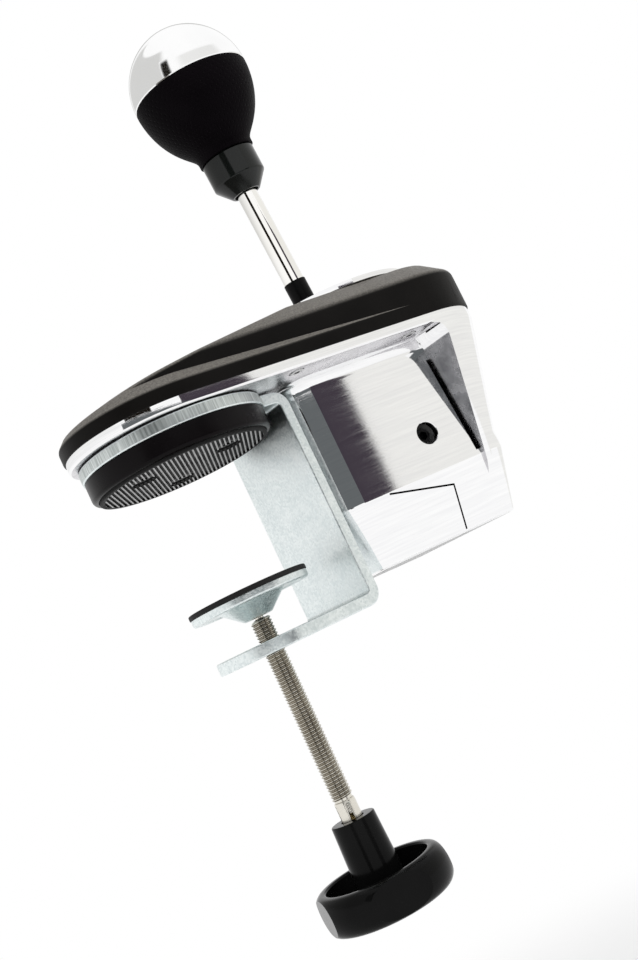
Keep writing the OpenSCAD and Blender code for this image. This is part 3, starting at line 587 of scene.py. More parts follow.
class Groups:
    """Shared shader groups, each built once."""

    made: dict[str, Tree] = {}

    @classmethod
    def start(cls, name: str, inputs: dict[str, float], outputs: Sequence[str]) -> tuple[Tree, Node, Node]:
        """Opens a group with a vector input, value inputs and value outputs.

        Args:
            name: Name of the group.
            inputs: Value inputs with their defaults.
            outputs: Names of the value outputs.

        Returns:
            The tree, its input node and its output node.
        """
        tree = bpy.data.node_groups.new(name, "ShaderNodeTree")
        tree.interface.new_socket("Vector", in_out="INPUT", socket_type="NodeSocketVector")
        for label, value in inputs.items():
            socket = tree.interface.new_socket(label, in_out="INPUT", socket_type="NodeSocketFloat")
            socket.default_value = value
        for label in outputs:
            tree.interface.new_socket(label, in_out="OUTPUT", socket_type="NodeSocketFloat")
        cls.made[name] = tree
        return tree, tree.nodes.new("NodeGroupInput"), tree.nodes.new("NodeGroupOutput")

    @classmethod
    def grain(cls) -> Tree:
        """Fine moulded grain with slow patches: outputs Height and Patch."""
        name = "moulded grain"
        if name in cls.made:
            return cls.made[name]
        inputs = {"Grain Scale": 2500.0, "Patch Scale": 60.0}
        tree, source, sink = cls.start(name, inputs, ("Height", "Patch"))
        fine = placed(tree, "TexNoise", {"Detail": 2.0, "Roughness": 0.6})
        patch = placed(tree, "TexNoise", {"Detail": 4.0})
        for texture, scale, result in ((fine, "Grain Scale", "Height"), (patch, "Patch Scale", "Patch")):
            wired(tree, (source, "Vector", texture, "Vector"), (source, scale, texture, "Scale"),
                  (texture, "Fac", sink, result))
        return tree

    @classmethod
    def spangle(cls) -> Tree:
        """Crystal patches and pits of plated sheet: outputs Tone and Pits."""
        name = "plated spangle"
        if name in cls.made:
            return cls.made[name]
        inputs = {"Crystal Scale": 420.0, "Pit Scale": 900.0}
        tree, source, sink = cls.start(name, inputs, ("Tone", "Pits"))
        cells = placed(tree, "TexVoronoi")
        cloud = placed(tree, "TexNoise", {"Detail": 5.0, "Scale": 110.0})
        pits = placed(tree, "TexNoise", {"Detail": 3.0})
        blend = placed(tree, "Mix", {"Factor": 0.62})
        shade = placed(tree, "SeparateColor")
        for texture in (cells, cloud, pits):
            wired(tree, (source, "Vector", texture, "Vector"))
        wired(tree, (source, "Crystal Scale", cells, "Scale"), (source, "Pit Scale", pits, "Scale"),
              (cells, "Color", shade, "Color"), (shade, "Red", blend, "A"), (cloud, "Fac", blend, "B"),
              (blend, "Result", sink, "Tone"), (pits, "Fac", sink, "Pits"))
        return tree

    @classmethod
    def perforation(cls) -> Tree:
        """Staggered dimples on a piece's own map: output Dimple, 1 inside a dimple."""
        name = "dimple rows"
        if name in cls.made:
            return cls.made[name]
        tree, source, sink = cls.start(name, {"Rows": 1.0, "Size": 0.25}, ("Dimple",))
        cells = placed(tree, "TexVoronoi", voronoi_dimensions="2D")
        cells.inputs["Randomness"].default_value = 0.0
        turn = placed(tree, "VectorRotate", rotation_type="Z_AXIS")
        turn.inputs["Angle"].default_value = math.radians(45.0)
        edge = placed(tree, "MapRange", {"To Min": 1.0, "To Max": 0.0}, interpolation_type="SMOOTHSTEP")
        wired(tree, (source, "Vector", turn, "Vector"), (turn, "Vector", cells, "Vector"),
              (source, "Rows", cells, "Scale"), (cells, "Distance", edge, "Value"),
              (source, "Size", edge, "From Max"), (edge, "Result", sink, "Dimple"))
        return tree


# Finishes

# Levels of a noise pattern that stand for its darkest and its lightest
PATCH_SPAN = (0.3, 0.7)


@dataclass(frozen=True)
class Finish:
    """Procedural finish of one material slot.

    Attributes:
        slot: Slot of the record that the finish belongs to.
        dark: Colour of the darker patches.
        light: Colour of the lighter patches.
        metal: Whether the surface is bare metal.
        rough: Least and most roughness.
        grain: Fine grain, as repeats per metre.
        depth: Depth of the grain's relief, in metres.
        patch: Slow patches, as repeats per metre.
        run: Direction that the grain is drawn out along.
        spangled: Whether the patches are the crystals of a plated sheet.
        dimples: Dimples per unit of the piece's own map, or 0.
        specular: Strength of the surface's own gloss, where 0.5 is plain plastic.
        shade: Name of the finish within its slot.
        top: Painted top light: colour that upward faces tend to, as if lit from above, or nothing.
    """

    slot: str
    dark: Colour
    light: Colour
    metal: bool = False
    rough: Point = (0.35, 0.5)
    grain: float = 2500.0
    depth: float = 0.00002
    patch: float = 60.0
    run: Axis = Axis.NONE
    spangled: bool = False
    dimples: float = 0.0
    specular: float = 0.5
    shade: str = "finish"
    top: Colour | None = None

    def material(self) -> bpy.types.Material:
        """Builds the finish's material once and returns it."""
        name = f"{self.slot}.{self.shade}"
        if name in bpy.data.materials:
            return bpy.data.materials[name]
        material, tree, surface = shaded(name, {
            "Metallic": 1.0 if self.metal else 0.0, "Specular IOR Level": self.specular,
        })
        tone, relief = self.patterns(tree)
        self.colour(tree, surface, tone, relief)
        self.gloss(tree, surface, tone)
        bump = placed(tree, "Bump", {"Strength": 0.6, "Distance": self.depth})
        tree.links.new(relief, bump.inputs["Height"])
        wired(tree, (bump, "Normal", surface, "Normal"))
        return material

    def patterns(self, tree: Tree) -> tuple[Socket, Socket]:
        """Places the shared groups and returns their tone and relief sockets."""
        place = placed(tree, "TexCoord")
        stretch = placed(tree, "Mapping", {"Scale": self.run.value})
        group = placed(tree, "Group", node_tree=Groups.spangle() if self.spangled else Groups.grain())
        labels = ("Crystal Scale", "Pit Scale", "Tone", "Pits")
        if not self.spangled:
            labels = ("Patch Scale", "Grain Scale", "Patch", "Height")
        group.inputs[labels[0]].default_value = self.patch
        group.inputs[labels[1]].default_value = self.grain
        tone, relief = group.outputs[labels[2]], group.outputs[labels[3]]
        wired(tree, (place, "Object", stretch, "Vector"), (stretch, "Vector", group, "Vector"))
        if self.dimples:
            relief = self.dimpled(tree, place, relief)
        return tone, relief

    def dimpled(self, tree: Tree, place: Node, relief: Socket) -> Socket:
        """Sinks staggered dimples into the relief and returns the new relief."""
        rows = placed(tree, "Group", node_tree=Groups.perforation())
        rows.inputs["Rows"].default_value = self.dimples
        rows.inputs["Size"].default_value = 0.3
        sink = placed(tree, "Math", {1: -6.0}, operation="MULTIPLY_ADD")
        wired(tree, (place, "UV", rows, "Vector"), (rows, "Dimple", sink, 0))
        tree.links.new(relief, sink.inputs[2])
        return sink.outputs["Value"]

    def colour(self, tree: Tree, surface: Node, tone: Socket, relief: Socket) -> None:
        """Feeds Base Color from the two colours, and from the painted top light of upward faces."""
        ramp = placed(tree, "ValToRGB")
        for stop, place, colour in zip(ramp.color_ramp.elements, PATCH_SPAN, (self.dark, self.light)):
            stop.position = place
            stop.color = (*colour, 1.0)
        tree.links.new(tone, ramp.inputs["Fac"])
        shown = ramp.outputs["Color"]
        # Upward faces get a lighter colour: painted top light.
        if self.top:
            shown = self.painted_top_light(tree, shown, relief)
        tree.links.new(shown, surface.inputs["Base Color"])

    def painted_top_light(self, tree: Tree, plain: Socket, relief: Socket) -> Socket:
        """Blends grains of the lighter colour into upward faces as painted top light and returns the new
        colour.
        """
        place = placed(tree, "TexCoord")
        parts = placed(tree, "SeparateXYZ")
        upward = placed(tree, "MapRange", {"From Min": 0.12, "From Max": 0.75},
                        interpolation_type="SMOOTHSTEP")
        speckle = self.spread(tree, relief, (0.45, 1.0))
        share = placed(tree, "Math", operation="MULTIPLY")
        mix, colours, shown = colour_mix(tree, (None, self.top))
        wired(tree, (place, "Normal", parts, "Vector"), (parts, "Z", upward, "Value"),
              (upward, "Result", share, 0), (speckle, "Result", share, 1), (share, "Value", mix, "Factor"))
        tree.links.new(plain, colours[0])
        return shown

    def gloss(self, tree: Tree, surface: Node, tone: Socket) -> None:
        """Feeds Roughness from the two limits."""
        wired(tree, (self.spread(tree, tone, self.rough), "Result", surface, "Roughness"))

    def spread(self, tree: Tree, pattern: Socket, limits: Point) -> Node:
        """Adds a node that spreads a pattern between two limits."""
        low, high = PATCH_SPAN
        node = placed(tree, "MapRange", {
            "From Min": low, "From Max": high, "To Min": limits[0], "To Max": limits[1],
        })
        tree.links.new(pattern, node.inputs["Value"])
        return node


def grey(level: float) -> Colour:
    """A plain grey."""
    return (level, level, level)


TREAD = Finish("tread_rubber", grey(0.012), grey(0.022), rough=(0.6, 0.8), grain=1800.0, patch=90.0,
               specular=0.15)
# Lighter rubber on the rib tops: painted highlight where the ribs catch light.
LIT_RIB_TOPS = Finish("tread_rubber", grey(0.34), grey(0.50), rough=(0.5, 0.7), grain=1800.0, patch=400.0,
                  specular=0.3, shade="painted_lit_rib_tops")
RING = Finish("ring_plastic", (0.003, 0.0022, 0.0026), (0.005, 0.004, 0.0045), rough=(0.22, 0.32),
              grain=3500.0, depth=0.000008, specular=0.08)
FASTENER = Finish("fastener_steel", grey(0.5), grey(0.62), True, (0.22, 0.36), 3000.0, 0.000004)
# Near-black steel for the pad screws: painted shadow of the holes they sit in.
SHADOWED_BOLTS = Finish("fastener_steel", grey(0.02), grey(0.035), True, (0.4, 0.55), shade="painted_shadow")
ZINC = Finish("zinc_steel", (0.69, 0.755, 0.76), (0.91, 0.96, 0.955), True, (0.30, 0.42), 2600.0, 0.00005,
              1300.0, spangled=True)
SHEARED = Finish("zinc_steel", (0.40, 0.44, 0.43), (0.82, 0.86, 0.85), True, (0.34, 0.5), 2600.0, 0.00008,
                 1600.0, Axis.ALONG_Z, shade="sheared_edge")
GASKET = Finish("gasket_rubber", grey(0.006), grey(0.012), rough=(0.6, 0.8), specular=0.15)
JAW_RUBBER = Finish("jaw_rubber", grey(0.008), grey(0.014), rough=(0.55, 0.75), grain=1600.0, patch=120.0,
                    specular=0.2)
ACETAL = Finish("acetal", grey(0.75), grey(0.82), rough=(0.3, 0.4))
THREAD = Finish("thread_steel", (0.66, 0.63, 0.56), (0.80, 0.77, 0.70), True, (0.14, 0.22), 2600.0, 0.000001)
# Darker steel on the thread's downward flanks: painted shade under each crest.
SHADED_FLANKS = Finish("thread_steel", (0.17, 0.15, 0.12), (0.27, 0.24, 0.19), True, (0.3, 0.42),
                shade="painted_shade_flanks")
WHEEL = Finish("wheel_plastic", grey(0.003), grey(0.005), rough=(0.10, 0.18), grain=1200.0, depth=0.000004,
               specular=0.08)
BRASS = Finish("brass", (0.55, 0.40, 0.16), (0.72, 0.55, 0.26), True, (0.2, 0.35))
ALLOY = Finish("polished_alloy", (0.90, 0.90, 0.91), (0.98, 0.98, 0.98), True, (0.03, 0.06), 2600.0, 0.000007,
               1100.0, Axis.LEVEL)
# Rougher cast finish, with a darker colour that is painted shade on the leaning face and the flange's
# underside.
CAST_AND_SHADED = Finish("polished_alloy", (0.53, 0.52, 0.54), (0.78, 0.77, 0.79), True, (0.2, 0.32), 1500.0, 0.00004,
                 150.0, shade="cast_and_shaded")
# Near-black, matt alloy for the groove and panel lines: painted shade in the recesses.
SHADED_SEAM = Finish("polished_alloy", grey(0.002), grey(0.004), rough=(0.7, 0.9), specular=0.0,
                  shade="painted_seam_shade")
COVER = Finish("cover_plastic", grey(0.42), grey(0.5), rough=(0.4, 0.55))
# The collar's upward faces are painted lighter: painted top light.
COLLAR = Finish("collar_plastic", (0.003, 0.0026, 0.0023), (0.005, 0.0043, 0.0038), rough=(0.38, 0.5),
                grain=1500.0, depth=0.00006, specular=0.08, top=(0.21, 0.197, 0.178))
SOCKET = Finish("socket_plastic", grey(0.012), grey(0.02), rough=(0.35, 0.5))
FRAME_STEEL = Finish("frame_steel", grey(0.25), grey(0.34), True, (0.35, 0.5))
PIN_STEEL = Finish("pin_steel", grey(0.55), grey(0.68), True, (0.15, 0.28))
BRONZE = Finish("bronze", (0.42, 0.25, 0.10), (0.58, 0.36, 0.16), True, (0.3, 0.45))
SHAFT = Finish("shaft_chrome", (0.95, 0.935, 0.90), (0.98, 0.97, 0.945), True, (0.03, 0.07), 1500.0, 0.000001)
SLEEVE = Finish("sleeve_plastic", grey(0.002), grey(0.004), rough=(0.3, 0.4), specular=0.08)
NECK = Finish("neck_plastic", (0.004, 0.005, 0.0045), (0.006, 0.007, 0.0065), rough=(0.10, 0.16),
              depth=0.000002, specular=0.32)
LEATHER = Finish("grip_leather", (0.0015, 0.0008, 0.0015), (0.003, 0.002, 0.003), rough=(0.42, 0.56),
                 grain=1500.0, depth=0.00006, dimples=1.0, specular=0.03)
CAP = Finish("cap_chrome", grey(0.95), grey(0.99), True, (0.07, 0.10), 1200.0, 0.000001)
MAGNET = Finish("magnet", grey(0.5), grey(0.6), True, (0.2, 0.3))
BOARD = Finish("board", (0.008, 0.08, 0.03), (0.015, 0.13, 0.05), rough=(0.3, 0.45), grain=900.0)
CHIP = Finish("chip", grey(0.012), grey(0.02), rough=(0.4, 0.55))
CONNECTOR = Finish("connector", grey(0.7), grey(0.8), rough=(0.35, 0.5))
SPRING = Finish("spring_steel", grey(0.5), grey(0.62), True, (0.2, 0.32))
DARK_STEEL = Finish("dark_steel", grey(0.01), grey(0.02), True, (0.3, 0.45))

FRAME_FINISHES: dict[Finish, tuple[str, ...]] = {
    GASKET: ("clamp_gasket",),
    ACETAL: ("swivel_socket",),
    THREAD: ("swivel_ball",),
    BRASS: ("handwheel_insert", "knob_insert", "board_pillars"),
    COVER: ("bottom_cover", "magnet_holder"),
    FRAME_STEEL: ("pivot_base", "gimbal_frame", "lever_hub"),
    PIN_STEEL: ("select_pins", "shift_pin", "detent_ball"),
    BRONZE: ("select_bushes", "hub_bushes"),
    FASTENER: ("base_screws", "detent_screw"),
    MAGNET: ("sensor_magnet",),
    BOARD: ("sensor_board",),
    CHIP: ("sensor_chips",),
    CONNECTOR: ("board_connector",),
    SPRING: ("centring_springs", "detent_spring"),
}


@dataclass(frozen=True)
class BodyOutline:
    """Plan of the body: a belt around one front circle and two rear circles."""

    front_x: float = -3.0
    front_r: float = 36.5
    rear_x: float = 105.0
    rear_r: float = 32.5
    spread: float = 22.0

    def circles(self, inset: float = 0.0, nose: float = 0.0, tail: float = 0.0,
                side: float = 0.0) -> list[Circle]:
        """Circles of the outline.

        Args:
            inset: Inward offset all round.
            nose: Further inset of the front circle.
            tail: Further inset of the rear circles.
            side: Inward shift of the rear circles.

        Returns:
            The circles, anticlockwise.
        """
        rear = self.rear_r - inset - tail
        return [
            (self.front_x, 0.0, self.front_r - inset - nose),
            (self.rear_x, side - self.spread, rear),
            (self.rear_x, self.spread - side, rear),
        ]


OUTLINE = BodyOutline()
DECK_Z = 14.1
FLANGE_T = 3.8
COLLAR_Z = DECK_Z + FLANGE_T


@dataclass
class UpperPad:
    """Ribbed rubber tread in a plastic ring, under the bracket's disc."""

    tread_r: float = 33.0
    tread_h: float = 4.0
    rib_pitch: float = 1.62
    rib_share: float = 0.36
    rib_h: float = 0.8
    rib_turn: float = math.radians(54.6)
    border: float = 1.6
    ring_r: float = 35.2
    ring_low: float = 1.0
    ring_high: float = 9.0
    lip: float = 1.7
    hole_r: float = 5.0
    hole_circle: float = 19.0
    hole_turn: float = math.radians(64.0)
    seat_gap: float = 0.1
    head: Head = (4.5, 2.8, 2.3, 1.7)

    def hole_places(self) -> list[Point]:
        """Centres of the three screw holes."""
        return [polar(self.hole_circle, self.hole_turn + FULL_TURN * k / 3) for k in range(3)]

    def build(self) -> None:
        """Builds the tread, the ring and the three screws."""
        dressed("tread", self.tread(), WORLD_FRAME, Body.BASE, [TREAD, LIT_RIB_TOPS], ["pad_tread"])
        dressed("pad_rim", self.ring(), WORLD_FRAME, Body.BASE, [RING], ["pad_ring"])
        screws = heads(self.head, [moved(x, y, self.tread_h) @ FACING_DOWN for x, y in self.hole_places()])
        # The pad screws are painted near-black: painted shadow of their holes.
        dressed("pad_bolts", screws, WORLD_FRAME, Body.BASE, [SHADOWED_BOLTS], ["pad_screws"])

    def tread(self) -> BMesh:
        """Disc with three holes, raised ribs and a plain raised border."""
        holes = [circle_points(x, y, self.hole_r, 40) for x, y in self.hole_places()]
        ribbed_r = self.tread_r - self.border
        bm = holed_sheet(circle_points(0.0, 0.0, ribbed_r, 160), holes, self.rib_h)
        across = Vector((-math.sin(self.rib_turn), math.cos(self.rib_turn), 0.0))
        count = math.ceil(self.tread_r / self.rib_pitch)
        half = self.rib_pitch * self.rib_share / 2.0
        for k in range(-count, count + 1):
            for side in (-half, half):
                place = across * ((k + 0.5) * self.rib_pitch + side)
                bmesh.ops.bisect_plane(
                    bm, geom=everything(bm), dist=ON_PLANE, plane_co=place, plane_no=across
                )
        raised(bm, list(bm.faces), Vector((0.0, 0.0, self.tread_h - self.rib_h)), keep=True)
        ribs = []
        for face in bm.faces:
            middle = face.calc_center_median()
            offset = (middle.dot(across) / self.rib_pitch) % 1.0 - 0.5
            flat = all(abs(vert.co.z - self.rib_h) < 0.001 for vert in face.verts)
            if flat and abs(offset) * 2.0 < self.rib_share:
                ribs.append(face)
        # The rib tops get the lighter rubber: painted highlight.
        for face in raised(bm, ribs, Vector((0.0, 0.0, -self.rib_h))):
            face.material_index = 1
        sealed(bm)
        return poured(bm, revolve(eased([
            (ribbed_r, 0.0, 0.0), (self.tread_r, 0.0, 0.3), (self.tread_r, self.tread_h, 0.0),
            (ribbed_r, self.tread_h, 0.0),
        ], closed=True), 160, closed=True))

    def ring(self) -> BMesh:
        """Turned ring with a rounded lower lip around the tread's seat."""
        seat = self.tread_r + self.seat_gap
        return revolve(eased([
            (0.0, self.tread_h, 0.0), (seat, self.tread_h, 0.0), (seat, self.ring_low, 0.35),
            (self.ring_r, self.ring_low, self.lip), (self.ring_r, self.ring_high, 0.4),
            (0.0, self.ring_high, 0.0),
        ]), 144)


@dataclass
class ClampBracket:
    """One bent plate: disc, upright and lower jaw."""

    sheet: float = 4.6
    disc_r: float = 35.8
    disc_top: float = 13.6
    half_w: float = 21.0
    bend_x: float = 35.0
    bend_out: float = 6.1
    jaw_low: float = -73.2
    jaw_x: float = JAW_X
    hole_r: float = 4.05
    edge: float = 0.55

    def build(self) -> None:
        """Builds the bracket."""
        dressed("bent_plate", self.plate(), WORLD_FRAME, Body.BASE, [ZINC, SHEARED], ["clamp_bracket"], 32.0)

    def plate(self) -> BMesh:
        """Outer skin of the plate, thickened inwards and eased along its edges."""
        start = math.asin(self.half_w / self.disc_r)
        turns = 96
        arc = [start + (FULL_TURN - 2.0 * start) * k / turns for k in range(turns + 1)]
        disc = [polar(self.disc_r, a) for a in arc]
        disc += [(self.bend_x, -self.half_w), (self.bend_x, self.half_w)]
        bm = holed_sheet(disc, [], self.disc_top)
        centre_z = self.disc_top - self.bend_out
        low_z = self.jaw_low + self.bend_out
        self.bent(bm, (self.bend_x, self.disc_top), Vector((self.bend_x, 0.0, centre_z)))
        face_x = self.bend_x + self.bend_out
        self.drawn(bm, (face_x, centre_z), Vector((0.0, 0.0, low_z - centre_z)))
        self.bent(bm, (face_x, low_z), Vector((self.bend_x, 0.0, low_z)))
        bends = 48
        round_end = [QUARTER_TURN + math.pi * k / bends for k in range(bends + 1)]
        jaw = [(self.bend_x, -self.half_w), (self.bend_x, self.half_w)]
        jaw += [polar(self.half_w, a, self.jaw_x) for a in round_end]
        poured(bm, holed_sheet(jaw, [circle_points(self.jaw_x, 0.0, self.hole_r, 40)], self.jaw_low))
        sealed(bm, 0.001)
        bmesh.ops.dissolve_limit(bm, angle_limit=math.radians(0.4), verts=bm.verts, edges=bm.edges)
        top = max(bm.faces, key=lambda face: face.calc_center_median().z)
        if top.normal.z < 0.0:
            bmesh.ops.reverse_faces(bm, faces=bm.faces)
        bmesh.ops.solidify(bm, geom=list(bm.faces), thickness=self.sheet)
        bmesh.ops.recalc_face_normals(bm, faces=bm.faces)
        softened(bm, self.edge, 50.0, 3)
        low, high = self.disc_top - self.sheet, self.disc_top
        for face in bm.faces:
            middle = face.calc_center_median()
            rim = middle.xy.length > self.disc_r - 1.0 and abs(face.normal.z) < 0.2
            if rim and low < middle.z < high and middle.x < self.bend_x - 5.0:
                face.material_index = 1
        return bm

    def rim_edge(self, bm: BMesh, place: Point) -> list[BMEdge]:
        """Edge across the plate at an (x, z) place."""
        def near(vert: BMVert) -> bool:
            return abs(vert.co.x - place[0]) < 0.01 and abs(vert.co.z - place[1]) < 0.01
        return [edge for edge in bm.edges if near(edge.verts[0]) and near(edge.verts[1])]

    def bent(self, bm: BMesh, place: Point, centre: Vector) -> None:
        """Spins the plate's end a quarter turn about a bend's centre."""
        edge = self.rim_edge(bm, place)
        geometry = edge + [vert for item in edge for vert in item.verts]
        bmesh.ops.spin(
            bm, geom=geometry, cent=centre, axis=(0, 1, 0), angle=QUARTER_TURN, steps=12, use_merge=False
        )

    def drawn(self, bm: BMesh, place: Point, shift: Vector) -> None:
        """Draws the plate's end out along a shift."""
        made = bmesh.ops.extrude_edge_only(bm, edges=self.rim_edge(bm, place))["geom"]
        bmesh.ops.translate(bm, verts=verts_of(made), vec=shift)


@dataclass
class ScrewJaw:
    """Swivel pad on the clamp screw, with its handwheel."""

    pad_r: float = 23.0
    pad_top: float = -49.0
    rubber_t: float = 1.8
    dish_r: float = 22.7
    dish_low: float = -53.6
    bowl_r: float = 12.4
    bowl_low: float = -59.46
    bowl_foot: float = 5.4
    bowl_mouth: float = 3.05
    ball_z: float = -54.5
    socket_r: float = 4.65
    screw_r: float = 3.95
    thread_depth: float = 0.62
    pitch: float = 1.25
    shoulder: float = -60.06
    neck_r: float = 1.65
    plain_top: float = -129.7
    hub_top: float = -137.2
    hub_top_r: float = 8.25
    hub_low_r: float = 9.25
    rim_top: float = -156.2
    rim_low: float = -170.2
    rim_r: float = 25.5
    rim_t: float = 6.0
    rim_bulge: float = 4.2
    cup_floor: float = -166.2
    flat_ease: float = 0.35
    crest: Point = (0.44, 0.56)
    neck_in: float = 2.4
    key_half: float = 14.0
    key_scale: float = 0.74
    dimple: Point = (9.0, 11.0)
    dimple_h: float = 0.4
    flat_depth: float = 2.6
    flat_turn: float = math.radians(66.0)
    key_turn: float = 64.0

    def build(self) -> None:
        """Builds the pad, the screw and the handwheel."""
        dressed("pad_face", self.rubber(), JAW_FRAME, Body.PAD, [JAW_RUBBER], ["jaw_rubber"])
        dressed("pad_dish", self.dish(), JAW_FRAME, Body.PAD, [ZINC], ["jaw_dish"])
        dressed("lead_screw", self.screw(), JAW_FRAME, Body.SCREW, [THREAD, SHADED_FLANKS], ["clamp_screw"])
        dressed("turning_wheel", self.wheel(), JAW_FRAME, Body.SCREW, [WHEEL], ["handwheel"], 40.0)

    def rubber(self) -> BMesh:
        """Rubber disc with eased edges."""
        low = self.pad_top - self.rubber_t
        return revolve(eased([
            (0.0, low, 0.0), (self.pad_r, low, 0.2), (self.pad_r, self.pad_top, 0.5), (0.0, self.pad_top, 0.0)
        ]))

    def dish(self) -> BMesh:
        """Pressed dish with a bowl for the ball."""
        top = self.pad_top - self.rubber_t
        drop = math.sqrt(self.socket_r ** 2 - self.bowl_mouth ** 2)
        return revolve(eased([
            (self.socket_r, top, 0.0), (self.dish_r, top, 0.3), (self.dish_r, self.dish_low, 0.8),
            (self.dish_r - 3.0, self.dish_low, 0.0), (self.dish_r - 3.6, self.dish_low + 0.5, 0.0),
            (self.bowl_r + 0.6, self.dish_low + 0.5, 1.2), (self.bowl_foot, self.bowl_low, 1.6),
            (self.bowl_mouth, self.bowl_low, 0.2), (self.bowl_mouth, self.ball_z - drop, 0.0),
            (self.socket_r * 0.88, self.ball_z - self.socket_r * 0.475, 0.0),
            (self.socket_r, self.ball_z, 0.0),
        ], closed=True), 96, closed=True)

    def screw(self) -> BMesh:
        """Rolled thread down to a slotted plain end, with a thin neck into the ball."""
        root = self.screw_r - self.thread_depth
        turns = round((self.shoulder - self.plain_top) / self.pitch)
        steps = 24
        bm = bmesh.new()
        profile = [(root, 0.0), *((self.screw_r, share) for share in self.crest), (root, 1.0)]
        low = self.shoulder - turns * self.pitch
        chain = path_of(bm, [(radius, 0.0, low + share * self.pitch) for radius, share in profile])
        spun(bm, chain, FULL_TURN * (turns - 1), steps * (turns - 1), self.pitch / steps)
        bmesh.ops.remove_doubles(bm, verts=bm.verts, dist=0.002)
        bmesh.ops.holes_fill(bm, edges=bm.edges, sides=0)
        bmesh.ops.recalc_face_normals(bm, faces=bm.faces)
        # Downward flanks get the darker steel: painted shade.
        for face in bm.faces:
            crest = face.calc_center_median().xy.length > self.screw_r - 0.1
            face.material_index = 0 if crest or face.normal.z > 0.0 else 1
        poured(bm, self.plain_end(low))
        neck_top = self.ball_z - self.neck_in
        poured(bm, revolve(eased([
            (0.0, low - 0.5, 0.0), (root + 0.02, low - 0.5, 0.0), (root + 0.02, self.shoulder - 0.5, 0.0),
            (self.neck_r, self.shoulder, 0.0), (self.neck_r, neck_top, 0.0), (0.0, neck_top, 0.0),
        ]), 32))
        return bm

    def plain_end(self, top: float) -> BMesh:
        """Plain end with four keyways that run into the hub."""
        radius = self.screw_r - 0.1
        bm = revolve(eased([
            (0.0, self.rim_top, 0.0), (radius, self.rim_top, 0.0), (radius, self.hub_top - 1.0, 0.0),
            (radius, top - 1.4, 0.0), (radius, top, 0.5), (0.0, top, 0.0),
        ]), 48)
        keys = []
        for face in bm.faces:
            middle = face.calc_center_median()
            turn = (math.degrees(math.atan2(middle.y, middle.x)) - self.key_turn) % 90.0
            keyed = min(turn, 90.0 - turn) < self.key_half and middle.length > 1.0
            if keyed and self.hub_top - 1.1 < middle.z < top - 1.0:
                keys.append(face)
        made = bmesh.ops.extrude_face_region(bm, geom=keys)["geom"]
        for vert in verts_of(made):
            vert.co.xy *= self.key_scale
        return sealed(bm)

    def wheel(self) -> BMesh:
        """Turned cup wheel with a tapered hub and four flats."""
        middle = (self.rim_top + self.rim_low) / 2.0
        half = (self.rim_top - self.rim_low) / 2.0
        bulge = [math.radians(-90.0 + 10.0 * k) for k in range(19)]
        core = self.rim_r - self.rim_bulge
        rim = [(core + self.rim_bulge * math.cos(a), middle + half * math.sin(a)) for a in bulge]
        inner = self.rim_r - self.rim_t
        cup = eased([
            (core - 0.4, self.rim_top, 0.0), (inner, self.rim_top, 0.8), (inner, self.cup_floor, 2.0),
            (self.hub_low_r, self.cup_floor, 1.5), (self.hub_top_r, self.hub_top, 0.5),
            (self.screw_r + 0.35, self.hub_top, 0.25), (self.screw_r + 0.35, self.hub_top - 2.0, 0.0),
            (0.0, self.hub_top - 2.0, 0.0),
        ])
        sunk = self.rim_low + self.dimple_h
        underside = [(0.0, sunk), (self.dimple[0], sunk), (self.dimple[1], self.rim_low)]
        bm = revolve(underside + rim + cup, 144)
        for k in range(4):
            normal = Matrix.Rotation(self.flat_turn + k * math.pi / 2.0, 3, "Z") @ Vector((1.0, 0.0, 0.0))
            sliced(bm, normal * (self.rim_r - self.flat_depth), normal)
        flats = [face for face in bm.faces if len(face.verts) > 8]
        rims = {edge for face in flats for edge in face.edges if abs(face.normal.z) < 0.01}
        return rounded(bm, rims, self.flat_ease)


